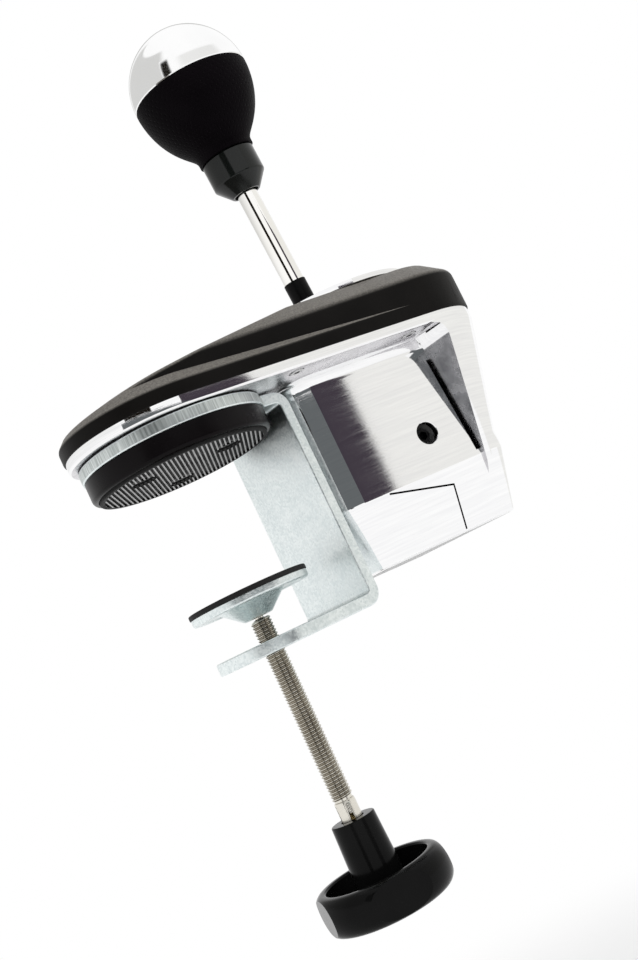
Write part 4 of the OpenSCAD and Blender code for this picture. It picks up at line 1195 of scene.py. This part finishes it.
@dataclass
class Housing:
    """Cast body: flange, gearbox with a sloping lower band, and rear block."""

    inset: float = 0.6
    wall: float = 3.0
    box_x: float = 43.1
    corner: float = 11.0
    length: float = 69.0
    front_w: float = 25.0
    rear_w: float = 38.5
    box_low: float = -37.9
    floor: float = -63.4
    band_in: float = 7.0
    groove_w: float = 1.8
    groove_depth: float = 2.0
    groove_low: float = -36.0
    groove_high: float = 4.5
    panel_rear: tuple[Point, Point] = ((89.3, -44.5), (89.8, -62.4))
    panel_top: tuple[Point, Point] = ((61.0, -38.6), (89.5, -44.8))
    panel_w: float = 0.7
    panel_depth: float = 0.6
    head_r: float = 2.8
    waist_in: float = 5.0
    waist_less: float = 11.5
    waist_drop: float = 3.0
    foot_in: float = 8.0
    foot_less: float = 18.5
    foot_back: float = 14.0
    head_key: Point = (1.35, 1.0)
    seat_low: float = -6.0
    tension_head: Head = (3.0, 5.8, 1.9, 2.6)
    tension_in: float = 6.4
    bore_x: float = 112.0
    bore_l: float = 30.0
    inlet_x: float = 125.5
    inlet_r: float = 6.0
    inlet_bore: float = 4.5
    inlet_l: float = 10.0
    inlet_floor: float = 5.0
    contacts: int = 6
    contact_circle: float = 3.0
    contact_r: float = 0.5
    contact_span: Point = (4.5, 8.0)
    head_h: float = 1.6
    flange_sink: float = 1.3
    flange_heads: tuple[Point, ...] = ((36.96, 36.5), (90.0, 44.5))
    cover_sink: float = 1.7
    cover_heads: tuple[Point, ...] = ((55.1, 11.0), (93.1, 21.5))
    fillet: float = 5.0
    face_x: float = 102.4
    lean: float = math.radians(-3.6)
    rear_corner: float = 7.0
    tool_x: float = 87.26
    tool_z: float = -22.5
    tool_r: float = 4.5
    socket_r: float = 6.1
    socket_z: float = -12.0

    def box_circles(self) -> list[Circle]:
        """Corner circles of the gearbox, anticlockwise."""
        front = self.front_w - self.corner
        rear = self.rear_w - self.corner
        first = self.box_x + self.corner
        last = self.box_x + self.length
        return [
            (first, -front, self.corner), (last, -rear, self.corner),
            (last, rear, self.corner), (first, front, self.corner),
        ]

    def build(self) -> None:
        """Builds the casting, its screws and what sits in its openings."""
        shell = combined(self.outer(), self.flange(), Join.ADD)
        shell = combined(shell, self.rear_block(0.0), Join.ADD)
        shell = combined(shell, self.inner(), Join.CUT)
        shell = combined(shell, self.rear_block(self.wall), Join.CUT)
        for side in SIDES:
            shell = combined(shell, self.tool_bore(side), Join.CUT)
            shell = combined(shell, self.groove(side), Join.CUT)
            for line in (self.panel_rear, self.panel_top):
                shell = combined(shell, self.panel_line(line, side), Join.CUT)
        shell = combined(shell, self.socket_bore(), Join.CUT)
        shell = combined(shell, self.head_seats(), Join.CUT)
        for face in shell.faces:
            place = face.calc_center_median()
            # Groove and panel-line faces are painted near-black: painted shade.
            if self.in_groove(place) or self.in_panel_line(place):
                face.material_index = 1
            # The leaning face and the flange's underside get the rougher cast finish, darkened as painted
            # shade.
            elif self.cast_and_shaded(place, face.normal):
                face.material_index = 2
        dressed("cast_body", shell, WORLD_FRAME, Body.BASE, [ALLOY, SHADED_SEAM, CAST_AND_SHADED], ["housing"], 32.0)
        self.fasteners()
        self.socket()

    def taper(self) -> float:
        """Slope of the gearbox's sides."""
        return (self.rear_w - self.front_w) / (self.length - self.corner)

    def half_width(self, x: float) -> float:
        """Half the gearbox's width at a place along it."""
        slope = self.taper()
        reach = self.front_w - self.corner + (x - self.box_x - self.corner) * slope
        return reach + self.corner * math.hypot(1.0, slope)

    def leaning_x(self, z: float) -> float:
        """Place of the rear block's leaning face at a height."""
        return self.face_x + (z - DECK_Z) * math.tan(self.lean)

    def groove(self, side: float) -> BMesh:
        """Cutter of the seam groove between the gearbox and the rear block."""
        bm = bmesh.new()
        for z in (self.groove_low, self.groove_high):
            for x in (self.leaning_x(z) - self.groove_w, self.leaning_x(z) + 0.02):
                for offset in (-self.groove_depth, 4.0):
                    bm.verts.new((x, side * (self.half_width(x) + offset), z))
        return tightened(bm)

    def in_groove(self, place: Vector) -> bool:
        """Whether a place lies on the walls or the floor of a seam groove."""
        ahead = self.leaning_x(place.z) - place.x
        depth = self.half_width(place.x) - abs(place.y)
        inside = -0.1 < ahead < self.groove_w + 0.05 and -0.5 < depth < self.groove_depth + 0.1
        return inside and self.groove_low - 0.05 < place.z < self.groove_high + 0.05

    def band_y(self, x: float, z: float) -> float:
        """Distance of the lower band's surface from the middle plane."""
        return self.half_width(x) - self.band_in * (self.box_low - z) / (self.box_low - self.floor)

    def panel_line(self, line: tuple[Point, Point], side: float) -> BMesh:
        """Cutter of a shallow panel line on the lower band.

        Args:
            line: Its two ends, as (x, z) places.
            side: Side of the gearbox, -1 or 1.

        Returns:
            The cutter.
        """
        start, end = Vector(line[0]), Vector(line[1])
        across = (end - start).orthogonal().normalized() * self.panel_w / 2.0
        bm = bmesh.new()
        for corner in (start - across, start + across, end - across, end + across):
            for offset in (-self.panel_depth, 1.5):
                bm.verts.new((corner.x, side * (self.band_y(*corner) + offset), corner.y))
        return tightened(bm)

    def in_panel_line(self, place: Vector) -> bool:
        """Whether a place lies inside a panel line, below the band's surface."""
        depth = self.band_y(place.x, place.z) - abs(place.y)
        if not 0.03 < depth < self.panel_depth + 0.1:
            return False
        for first, last in (self.panel_rear, self.panel_top):
            start, run = Vector(first), Vector(last) - Vector(first)
            reach = Vector((place.x, place.z)) - start
            share = reach.dot(run) / run.length_squared
            if -0.02 < share < 1.02 and (reach - run * share).length < self.panel_w / 2.0 + 0.05:
                return True
        return False

    def cast_and_shaded(self, place: Vector, normal: Vector) -> bool:
        """Whether a face gets the rougher cast finish, darker as painted shade: the leaning face and the
        flange's underside.
        """
        leaning = normal.x < -0.9 and abs(place.x - self.leaning_x(place.z)) < 0.1 and place.x > 95.0
        return leaning or (normal.z < -0.98 and abs(place.z - DECK_Z) < 0.05)

    def head_seats(self) -> BMesh:
        """Cutters of the counterbores that the flange screws' heads sit in."""
        bm = bmesh.new()
        radius = self.head_r + 0.3
        for x, y in self.flange_heads:
            for side in SIDES:
                seat = plug(radius, self.seat_low, self.flange_sink, 40)
                seat.transform(moved(x, side * y, DECK_Z))
                poured(bm, seat)
        return bm

    def flange(self) -> BMesh:
        """Flat flange under the collar, eased along its lower rim."""
        rims = [(circle, z) for z in (DECK_Z, COLLAR_Z) for circle in OUTLINE.circles(self.inset)]
        bm = hull(rims, 128)
        return softened(bm, 1.1, 40.0, 4, lambda edge: max(v.co.z for v in edge.verts) < DECK_Z + 0.1)

    def outer(self) -> BMesh:
        """Outside of the gearbox, flared into the flange."""
        side = eased([
            (-9.0, self.floor, 0.0), (-self.band_in, self.floor, 1.2), (0.0, self.box_low, 2.2),
            (0.0, DECK_Z, self.fillet), (self.fillet + 1.0, DECK_Z, 0.0),
        ], steps=8) + [(self.fillet + 1.0, DECK_Z + 2.0)]
        return belt_loft(self.box_circles(), side)

    def inner(self) -> BMesh:
        """Hollow of the gearbox, open above and below."""
        lip = 8.5
        return belt_loft(self.box_circles(), [
            (-lip, self.floor - 1.0), (-lip, self.floor + self.wall), (-self.wall, self.box_low),
            (-self.wall, COLLAR_Z + 1.0),
        ])

    def rear_block(self, inset: float) -> BMesh:
        """Rear block behind a leaning front face.

        Args:
            inset: Inward offset of every wall.

        Returns:
            The closed block.
        """
        x = OUTLINE.rear_x
        radius = OUTLINE.rear_r - self.inset + 0.02 - inset
        top = COLLAR_Z - 0.02 if inset == 0.0 else DECK_Z - inset
        rims: list[tuple[Circle, float]] = []
        for side in SIDES:
            spread = side * OUTLINE.spread
            rims += [((x, spread, radius), top), ((x, spread, radius), DECK_Z - inset - 0.1)]
            waist_r = OUTLINE.rear_r - self.waist_less - inset
            rims += [((x, spread - side * self.waist_in, waist_r), self.box_low - self.waist_drop)]
            foot_r = OUTLINE.rear_r - self.foot_less - inset
            rims += [((x - self.foot_back, spread - side * self.foot_in, foot_r), self.floor + inset)]
        block = hull(rims, 96)
        drop = self.floor - 2.0
        slope = math.tan(self.lean)
        start = self.face_x + inset
        rise = top + 5.0
        side_view = [(start + 60.0, rise), (start + 60.0, drop), (start + (drop - DECK_Z) * slope, drop)]
        if inset > 0.0:
            side_view += [(start + (rise - DECK_Z) * slope, rise)]
        else:
            corner = eased([
                (*side_view[-1], 0.0), (start, DECK_Z, self.rear_corner), (start - 20.0, DECK_Z, 0.0)
            ], steps=8)
            side_view += corner[1:] + [(start - 20.0, rise)]
        half_span = 80.0
        face = [Vector((a, -half_span, b)) for a, b in side_view]
        keep = extruded(face, Vector((0.0, 2.0 * half_span, 0.0)))
        bm = combined(block, keep, Join.KEEP)
        if inset == 0.0:
            softened(bm, 1.4, 48.0, 4, lambda edge: max(v.co.z for v in edge.verts) < DECK_Z + 0.5)
        return bm

    def tool_axis(self, side: float) -> Matrix:
        """Frame of a tool hole, with Z pointing into the housing."""
        place = moved(self.tool_x, side * self.half_width(self.tool_x), self.tool_z)
        return place @ turned(side * math.atan(self.taper()), "Z") @ turned(side * QUARTER_TURN, "X")

    def tool_bore(self, side: float) -> BMesh:
        """Cutter of a tool hole with a small countersink."""
        bm = revolve([
            (0.0, -3.0), (self.tool_r + 3.2, -3.0), (self.tool_r, 0.2), (self.tool_r, 6.0), (0.0, 6.0)
        ], 64)
        bm.transform(self.tool_axis(side))
        return bm

    def socket_bore(self) -> BMesh:
        """Cutter of the cable socket's hole."""
        bm = plug(self.socket_r, 0.0, self.bore_l, 64)
        bm.transform(moved(self.bore_x, 0.0, self.socket_z) @ FACING_REAR)
        return bm

    def fasteners(self) -> None:
        """Builds the flange, cover and tension screws."""
        size = (self.head_r, self.head_h, *self.head_key)
        rows = (
            ("flange_bolts", self.flange_heads, DECK_Z + self.flange_sink, "collar_screws"),
            ("cover_bolts", self.cover_heads, self.floor + self.cover_sink, "cover_screws"),
        )
        for name, places, seat_z, node in rows:
            seats = [moved(x, side * y, seat_z) @ FACING_DOWN for x, y in places for side in SIDES]
            dressed(name, heads(size, seats), WORLD_FRAME, Body.BASE, [FASTENER], [node])
        sunk = moved(0.0, 0.0, self.wall + self.tension_in) @ FACING_DOWN
        tension = heads(self.tension_head, [self.tool_axis(side) @ sunk for side in SIDES])
        dressed("tension_bolts", tension, WORLD_FRAME, Body.BASE, [DARK_STEEL], ["tension_screws"])

    def socket(self) -> None:
        """Builds the round cable socket with its contacts."""
        bm = revolve(eased([
            (0.0, 0.0, 0.0), (self.inlet_r, 0.0, 0.0), (self.inlet_r, self.inlet_l, 0.5),
            (self.inlet_bore, self.inlet_l, 0.3), (self.inlet_bore, self.inlet_floor, 0.0),
            (0.0, self.inlet_floor, 0.0),
        ]), 64)
        low, high = self.contact_span
        for k in range(self.contacts):
            contact = revolve(eased([
                (0.0, low, 0.0), (self.contact_r, low, 0.0), (self.contact_r, high, 0.3), (0.0, high, 0.0)
            ]), 12)
            contact.transform(moved(*polar(self.contact_circle, FULL_TURN * k / self.contacts), 0.0))
            for face in contact.faces:
                face.material_index = 1
            poured(bm, contact)
        place = moved(self.inlet_x, 0.0, self.socket_z) @ FACING_REAR
        dressed("cable_inlet", bm, place, Body.BASE, [SOCKET, BRASS], ["cable_socket"])


@dataclass
class TopCollar:
    """Two-tier moulded collar with the gate plate on its deck."""

    band_h: float = 5.0
    shelf_h: float = 5.6
    shelf_in: float = 5.5
    nose_in: float = 4.0
    brow_h: float = 14.2
    brow_tilt: float = math.radians(0.9)
    bevel_front: float = 6.0
    bevel_rear: float = 5.5
    bevel_side: float = 5.5
    wall: float = 3.0
    tier_step: float = 0.3
    ease: float = 1.7
    opening_r: float = 38.0
    opening_span: Point = (-33.5, 26.5)
    head: Head = (1.9, 1.2, 1.1, 0.7)
    screw_r: float = 40.0
    screw_angles: tuple[float, ...] = (28.0, 152.0, 208.0, 332.0)

    def build(self) -> None:
        """Builds the collar, the gate plate and its screws."""
        shell = combined(self.lower(), self.upper(), Join.ADD)
        shell = combined(shell, self.hollow(), Join.CUT)
        shell = combined(shell, self.opening(), Join.CUT)
        dressed("moulded_collar", shell, WORLD_FRAME, Body.BASE, [COLLAR], ["top_collar"], 24.0)
        plate = softened(node_shape("shift_plate"), 0.3, 50.0, 2)
        dressed("gate_plate", plate, WORLD_FRAME, Body.BASE, [ALLOY], ["shift_plate"])
        places = [moved(*polar(self.screw_r, math.radians(angle)), 0.0) for angle in self.screw_angles]
        screws = heads(self.head, [self.plate_frame() @ place for place in places])
        dressed("plate_bolts", screws, WORLD_FRAME, Body.BASE, [FASTENER], ["plate_screws"])

    def plate_frame(self) -> Matrix:
        """Gate frame moved to the gate plate's centre."""
        return GATE_FRAME @ moved(PLATE_BACK, -PIVOT.y, 0.0)

    def deck(self, drop: float) -> Plane:
        """Point and normal of the deck's plane, lowered by a drop."""
        return GATE_FRAME @ Vector((0.0, 0.0, -PLATE_T - drop)), GATE_FRAME.to_3x3() @ UP

    def nose(self, drop: float) -> Plane:
        """Point and normal of the plane from the deck down to the nose, lowered by a drop."""
        return NOSE_FRAME @ Vector((0.0, 0.0, -drop)), NOSE_FRAME.to_3x3() @ UP

    def brow(self, drop: float) -> Plane:
        """Point and normal of the brow's plane, lowered by a drop."""
        normal = Matrix.Rotation(-self.brow_tilt, 3, "Y") @ UP
        return Vector((0.0, 0.0, COLLAR_Z + self.brow_h - drop)), normal

    def block(self, circles: Sequence[Circle], low: float, planes: Sequence[Plane]) -> BMesh:
        """Upright block of an outline, cut off by planes."""
        bm = hull([(circle, z) for z in (low, COLLAR_Z + 60.0) for circle in circles], 128)
        for point, normal in planes:
            sliced(bm, point, normal)
        return bm

    def lower(self) -> BMesh:
        """Lower band with its sloping shelf."""
        shelf_z = COLLAR_Z + self.band_h
        levels = ((COLLAR_Z, 0.0), (shelf_z, 0.0), (shelf_z + self.shelf_h, self.shelf_in))
        bm = hull([(circle, z) for z, inset in levels for circle in OUTLINE.circles(inset)], 128)
        sliced(bm, *self.nose(self.tier_step))
        return softened(bm, 0.7, 25.0, 3)

    def rims(self, inset: float = 0.0) -> list[Circle]:
        """Outline of the deck inside the bevel, with an inset."""
        return OUTLINE.circles(
            inset, nose=self.nose_in + self.bevel_front, tail=self.bevel_rear, side=self.bevel_side
        )

    def upper(self) -> BMesh:
        """Upper tier from the nose to the rear end, bevelled up to the deck."""
        tops = [self.deck(0.0), self.nose(0.0)]
        bm = self.block(OUTLINE.circles(nose=self.nose_in), COLLAR_Z, [self.brow(0.0), *tops])
        poured(bm, self.block(self.rims(), COLLAR_Z, tops))
        return softened(tightened(bm), self.ease, 14.0, 4)

    def hollow(self) -> BMesh:
        """Space under the collar."""
        low = COLLAR_Z - 5.0
        under = self.block(OUTLINE.circles(self.wall + 1.5, nose=self.nose_in), low,
                           [self.brow(self.wall), self.deck(self.wall + 0.5), self.nose(self.wall + 0.5)])
        inside = self.block(self.rims(self.wall), low, [self.deck(self.wall), self.nose(self.wall)])
        return combined(under, inside, Join.ADD)

    def opening(self) -> BMesh:
        """Cutter of the round opening under the gate plate."""
        bm = plug(self.opening_r, *self.opening_span, 96)
        bm.transform(self.plate_frame())
        return bm


@dataclass
class Lever:
    """Chrome lever with its sleeve, neck and ball knob."""

    shaft_r: float = 4.3
    shaft_low: float = 6.1
    shaft_high: float = 165.6
    sleeve_r: float = 4.7
    sleeve_low: float = 26.0
    sleeve_high: float = 79.5
    neck_r: float = 11.3
    neck_low: float = 120.7
    neck_taper: float = 5.1
    taper_h: float = 6.0
    grip_low: float = 137.7
    knob_at: float = 169.5
    knob_r: float = 25.0
    grip_reach: float = 1.224
    cap_wall: float = 4.0
    seam: float = 0.35
    insert_r: float = 8.4

    def build(self) -> None:
        """Builds the lever's visible pieces."""
        dressed("chrome_shaft", self.shaft(), LEVER_FRAME, Body.LEVER, [SHAFT], ["lever_shaft"])
        dressed("shaft_sleeve", self.sleeve(), LEVER_FRAME, Body.LEVER, [SLEEVE], ["gate_sleeve"])
        dressed("knob_neck", self.neck(), LEVER_FRAME, Body.LEVER, [NECK], ["neck_collar"], 28.0)
        dressed("ball_grip", self.grip(), LEVER_FRAME, Body.LEVER, [LEATHER], ["knob_grip"])
        dressed("ball_cap", self.cap(), LEVER_FRAME, Body.LEVER, [CAP], ["knob_cap"])

    def shaft(self) -> BMesh:
        """Plain chromed rod with eased ends."""
        return revolve(eased([
            (0.0, self.shaft_low, 0.0), (self.shaft_r, self.shaft_low, 0.4),
            (self.shaft_r, self.shaft_high, 0.4),
            (0.0, self.shaft_high, 0.0),
        ]), 64)

    def sleeve(self) -> BMesh:
        """Thin sleeve with a rounded upper rim."""
        inner = self.shaft_r + 0.08
        return revolve([
            (inner, self.sleeve_low), (self.sleeve_r, self.sleeve_low),
            (self.sleeve_r, self.sleeve_high - 0.25),
            (self.sleeve_r - 0.15, self.sleeve_high - 0.05), (inner + 0.1, self.sleeve_high),
            (inner, self.sleeve_high - 0.1),
        ], 64, closed=True)

    def neck(self) -> BMesh:
        """Turned neck with a tapered foot and a recess around the shaft."""
        bore = self.shaft_r + 0.08
        mouth = self.shaft_r + 1.0
        low = self.neck_low
        return revolve(eased([
            (bore, low + 1.5, 0.0), (mouth, low + 1.5, 0.0), (mouth, low, 0.2),
            (self.neck_r - self.neck_taper, low, 0.3), (self.neck_r, low + self.taper_h, 1.2),
            (self.neck_r, self.grip_low - 0.6, 0.0), (self.neck_r - 0.5, self.grip_low, 0.0),
            (bore, self.grip_low, 0.0),
        ], closed=True), 96, closed=True)

    def grip(self) -> BMesh:
        """Pear-shaped grip with its own map for the dimples."""
        length = self.knob_at - self.grip_low
        foot = self.neck_r + 0.7
        outline: list[Point] = [(foot - 0.3, 0.0)]
        count = 40
        for k in range(count + 1):
            rise = 0.3 + (length - self.seam - 0.55) * k / count
            ball = max(0.0, 1.0 - ((length - rise) / (self.grip_reach * self.knob_r)) ** 2)
            swell = (self.knob_r ** 6 * ball ** 3 + foot ** 6) ** (1.0 / 6.0)
            outline.append((min(self.knob_r, swell), rise))
        seam_at = length - self.seam
        outline += [(self.knob_r - 0.25, seam_at), (self.insert_r, seam_at), (self.insert_r, 0.0)]
        bm = revolve([(radius, self.grip_low + height) for radius, height in outline], 128, closed=True)
        self.mapped(bm)
        return bm

    def mapped(self, bm: BMesh) -> None:
        """Lays a map round the grip in dimple pitches: turns across, height up."""
        layer = bm.loops.layers.uv.new("turned")
        pitch = 2.1
        around = round(FULL_TURN * self.knob_r / pitch)
        for face in bm.faces:
            middle = face.calc_center_median()
            centre = math.atan2(middle.y, middle.x)
            for corner in face.loops:
                angle = math.atan2(corner.vert.co.y, corner.vert.co.x)
                angle = centre + (angle - centre + math.pi) % FULL_TURN - math.pi
                corner[layer].uv = (angle / FULL_TURN * around, (corner.vert.co.z - self.grip_low) / pitch)

    def cap(self) -> BMesh:
        """Hollow chrome half ball with an eased rim."""
        inner = self.knob_r - self.cap_wall
        lift = math.asin(self.seam / self.knob_r)
        count = 40
        arc = [lift + (QUARTER_TURN - lift) * k / count for k in range(count + 1)]
        outside = [polar(self.knob_r, a, 0.0, self.knob_at) for a in arc]
        outside[-1] = (0.0, self.knob_at + self.knob_r)
        inside = [polar(inner, a, 0.0, self.knob_at) for a in reversed(arc)]
        inside[0] = (0.0, self.knob_at + inner)
        rim = [(inner, self.knob_at + self.seam), (self.knob_r - 0.3, self.knob_at)]
        return revolve(rim + outside + inside[:-1] + [rim[0]], 128)


@dataclass
class Mechanism:
    """Frame nodes that stay as they are and get their finish."""

    def build(self) -> None:
        """Dresses every frame node that no piece replaces."""
        for finish, nodes in FRAME_FINISHES.items():
            for node in nodes:
                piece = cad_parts[node]
                if not piece.material_slots:
                    piece.data.materials.append(None)
                for holder in piece.material_slots:
                    holder.material = finish.material()
                LOG.info("%s: %s", node, finish.slot)


@dataclass(frozen=True)
class Card:
    """Curved card around the part that only mirrors show.

    Attributes:
        name: Name of the card.
        radius: Its distance from the part, in metres.
        turns: Directions of its two ends, in degrees from X.
        heights: Its lower and upper edge, in metres.
        colour: Colour that mirrors show.
        fade: Share of its length and height over which it softens to white.
    """

    name: str
    radius: float
    turns: Point
    heights: Point
    colour: Colour
    fade: float = 0.0


WHITE = (1.0, 1.0, 1.0, 1.0)
BLACK = (0.0, 0.0, 0.0, 1.0)
CARDS = (
    Card("dark_flag", 1.0, (-92.0, -73.3), (-0.9, 0.26), (0.055, 0.045, 0.058)),
    Card("grey_flag", 0.3, (-162.0, -92.0), (-0.06, 0.06), (0.125, 0.135, 0.14)),
    Card("shaft_strip", 0.3, (-158.0, -133.0), (0.061, 0.22), (0.01, 0.008, 0.006)),
    Card("cap_strip", 0.98, (-168.0, -147.0), (0.22, 1.1), (0.01, 0.008, 0.006), 0.22),
    Card("low_strip", 0.98, (-152.0, -138.0), (-0.9, -0.03), (0.02, 0.018, 0.016)),
    Card("pale_card", 1.0, (-73.3, 10.0), (-0.25, 0.45), (0.87, 0.865, 0.84)),
    Card("left_card", 1.2, (65.0, 208.0), (0.15, 2.6), (0.66, 0.66, 0.65), 0.12),
    Card("right_card", 1.2, (-138.0, -40.0), (0.45, 1.1), (0.82, 0.82, 0.81), 0.2),
    Card("back_card", 1.2, (22.0, 72.0), (0.0, 1.6), (0.50, 0.50, 0.49), 0.3),
)


@dataclass
class Studio:
    """Pale floor, white surround, soft lamps and the photograph's camera."""

    floor_z: float = -0.30
    floor_r: float = 6.0
    shadow_r: float = 0.16
    white_r: float = 0.36
    camera_at: tuple[float, float, float] = (-0.2361, -0.3471, -0.0719)
    camera_right: tuple[float, float, float] = (0.7224, -0.5424, -0.4289)
    camera_up: tuple[float, float, float] = (0.2651, -0.3556, 0.8963)
    lens: float = 43.65
    sensor: float = 36.0
    surround: float = 0.6
    aim: tuple[float, float, float] = (0.06, 0.0, -0.02)

    def build(self) -> None:
        """Sets the view, the floor, the surround, the lamps and the camera."""
        bpy.context.scene.view_settings.view_transform = "Standard"
        self.floor()
        self.world()
        self.lamp("key_lamp", (-0.9, -0.6, 1.1), 0.9, 9.0)
        self.lamp("side_lamp", (0.9, -1.2, 0.3), 0.8, 7.0)
        self.lamp("rear_lamp", (0.6, 1.3, 0.8), 1.0, 7.0)
        for plan in CARDS:
            self.flag(plan)
        self.camera()

    def floor(self) -> None:
        """Pale floor well below the hanging part."""
        bm = bmesh.new()
        bmesh.ops.create_circle(bm, cap_ends=True, segments=64, radius=self.floor_r)
        bm.transform(moved(0.0, 0.0, self.floor_z))
        mesh = as_mesh("studio_floor", bm)
        material, tree, surface = shaded("studio_floor", {
            "Base Color": (0.93, 0.93, 0.93, 1.0), "Roughness": 0.9, "Specular IOR Level": 0.0,
        })
        self.whitened(tree, surface)
        mesh.materials.append(material)
        ground = linked("studio_floor", mesh)

    def whitened(self, tree: Tree, surface: Node) -> None:
        """Fades the floor to white away from the part's shadow, where it is seen or mirrored."""
        white = placed(tree, "Emission", {"Color": WHITE, "Strength": 1.0})
        place = placed(tree, "TexCoord")
        reach = placed(tree, "VectorMath", {1: (self.aim[0], self.aim[1], self.floor_z)},
                       operation="DISTANCE")
        fade = placed(tree, "MapRange", {"From Min": self.shadow_r, "From Max": self.white_r},
                      interpolation_type="SMOOTHSTEP")
        share = placed(tree, "Math", operation="MULTIPLY")
        mix = placed(tree, "MixShader")
        wired(tree, (place, "Object", reach, 0), (reach, "Value", fade, "Value"), (fade, "Result", share, 0),
              (self.seen(tree), "Value", share, 1), (share, "Value", mix, "Fac"), (surface, "BSDF", mix, 1),
              (white, "Emission", mix, 2), (mix, "Shader", tree.nodes["Material Output"], "Surface"))

    def seen(self, tree: Tree) -> Node:
        """Adds a node whose value is 1 on camera, glossy and transmission rays."""
        path = placed(tree, "LightPath")
        first = placed(tree, "Math", operation="MAXIMUM")
        second = placed(tree, "Math", operation="MAXIMUM")
        wired(tree, (path, "Is Camera Ray", first, 0), (path, "Is Glossy Ray", first, 1),
              (first, "Value", second, 0), (path, "Is Transmission Ray", second, 1))
        return second

    def world(self) -> None:
        """White surround: plain light for the part, white where it is seen or mirrored."""
        world = bpy.data.worlds.new("studio")
        bpy.context.scene.world = world
        world.use_nodes = True
        tree = world.node_tree
        lit = tree.nodes["Background"]
        lit.inputs["Color"].default_value = WHITE
        lit.inputs["Strength"].default_value = self.surround
        shown = placed(tree, "Background", {"Color": WHITE, "Strength": 1.0})
        mix = placed(tree, "MixShader")
        wired(tree, (self.seen(tree), "Value", mix, "Fac"), (lit, "Background", mix, 1),
              (shown, "Background", mix, 2), (mix, "Shader", tree.nodes["World Output"], "Surface"))

    def lamp(self, name: str, place: tuple[float, float, float], size: float, power: float) -> None:
        """Hangs a square soft lamp that points at the part.

        Args:
            name: Name of the lamp.
            place: Its place, in metres.
            size: Side of the square.
            power: Its power, in watts.
        """
        light = bpy.data.lights.new(name, "AREA")
        light.size = size
        light.energy = power
        lamp = linked(name, light)
        lamp.location = place
        aim = Vector(self.aim) - Vector(place)
        lamp.rotation_euler = aim.to_track_quat("-Z", "Y").to_euler()
        lamp.visible_glossy = False

    def flag(self, plan: Card) -> None:
        """Stands a card around the part."""
        first, last = (math.radians(turn) for turn in plan.turns)
        low, high = plan.heights
        bm = bmesh.new()
        chain = path_of(bm, [(*polar(plan.radius, first), z) for z in plan.heights])
        spun(bm, chain, last - first, 32)
        layer = bm.loops.layers.uv.new("card")
        for corner in (corner for face in bm.faces for corner in face.loops):
            turn = math.atan2(corner.vert.co.y, corner.vert.co.x) - (first + last) / 2.0
            turn = (turn + math.pi) % FULL_TURN - math.pi
            corner[layer].uv = (turn / (last - first) + 0.5, (corner.vert.co.z - low) / (high - low))
        bm.transform(moved(self.aim[0], self.aim[1], 0.0))
        mesh = as_mesh(plan.name, bm)
        material, tree, surface = shaded(plan.name, {
            "Base Color": BLACK, "Specular IOR Level": 0.0, "Emission Color": (*plan.colour, 1.0),
            "Emission Strength": 1.0,
        })
        if plan.fade:
            self.soft_edged(tree, surface, plan)
        mesh.materials.append(material)
        card = linked(plan.name, mesh)
        card.visible_camera = False
        card.visible_diffuse = False
        card.visible_shadow = False

    def soft_edged(self, tree: Tree, surface: Node, plan: Card) -> None:
        """Fades a card's colour to white towards its four edges."""
        place = placed(tree, "TexCoord")
        parts = placed(tree, "SeparateXYZ")
        share = placed(tree, "Math", operation="MULTIPLY")
        mix, _, shown = colour_mix(tree, (WHITE[:3], plan.colour))
        wired(tree, (place, "UV", parts, "Vector"), (share, "Value", mix, "Factor"))
        for index, label in enumerate(("X", "Y")):
            edge = placed(tree, "Math", {1: 0.5}, operation="PINGPONG")
            ramp = placed(tree, "MapRange", {"From Max": plan.fade}, interpolation_type="SMOOTHSTEP")
            wired(tree, (parts, label, edge, 0), (edge, "Value", ramp, "Value"),
                  (ramp, "Result", share, index))
        tree.links.new(shown, surface.inputs["Emission Color"])

    def camera(self) -> None:
        """Sets the photograph's viewpoint, with the long side of the image on the sensor's width."""
        data = bpy.data.cameras.new("viewpoint")
        data.lens = self.lens
        data.sensor_width = self.sensor
        data.sensor_fit = "AUTO"
        data.clip_start = 0.01
        right = Vector(self.camera_right).normalized()
        up = Vector(self.camera_up).normalized()
        back = right.cross(up)
        turn = Matrix((right, up, back)).transposed().to_4x4()
        camera = linked("viewpoint", data)
        camera.matrix_world = Matrix.Translation(self.camera_at) @ turn
        bpy.context.scene.camera = camera


def main() -> None:
    """Builds the studio and every sub-assembly."""
    logging.basicConfig(level=logging.INFO, format="%(name)s %(message)s")
    for kind in (Studio, UpperPad, ClampBracket, ScrewJaw, Housing, TopCollar, Lever, Mechanism):
        LOG.info("building %s", kind.__name__)
        kind().build()


if __name__ == "__main__":
    main()
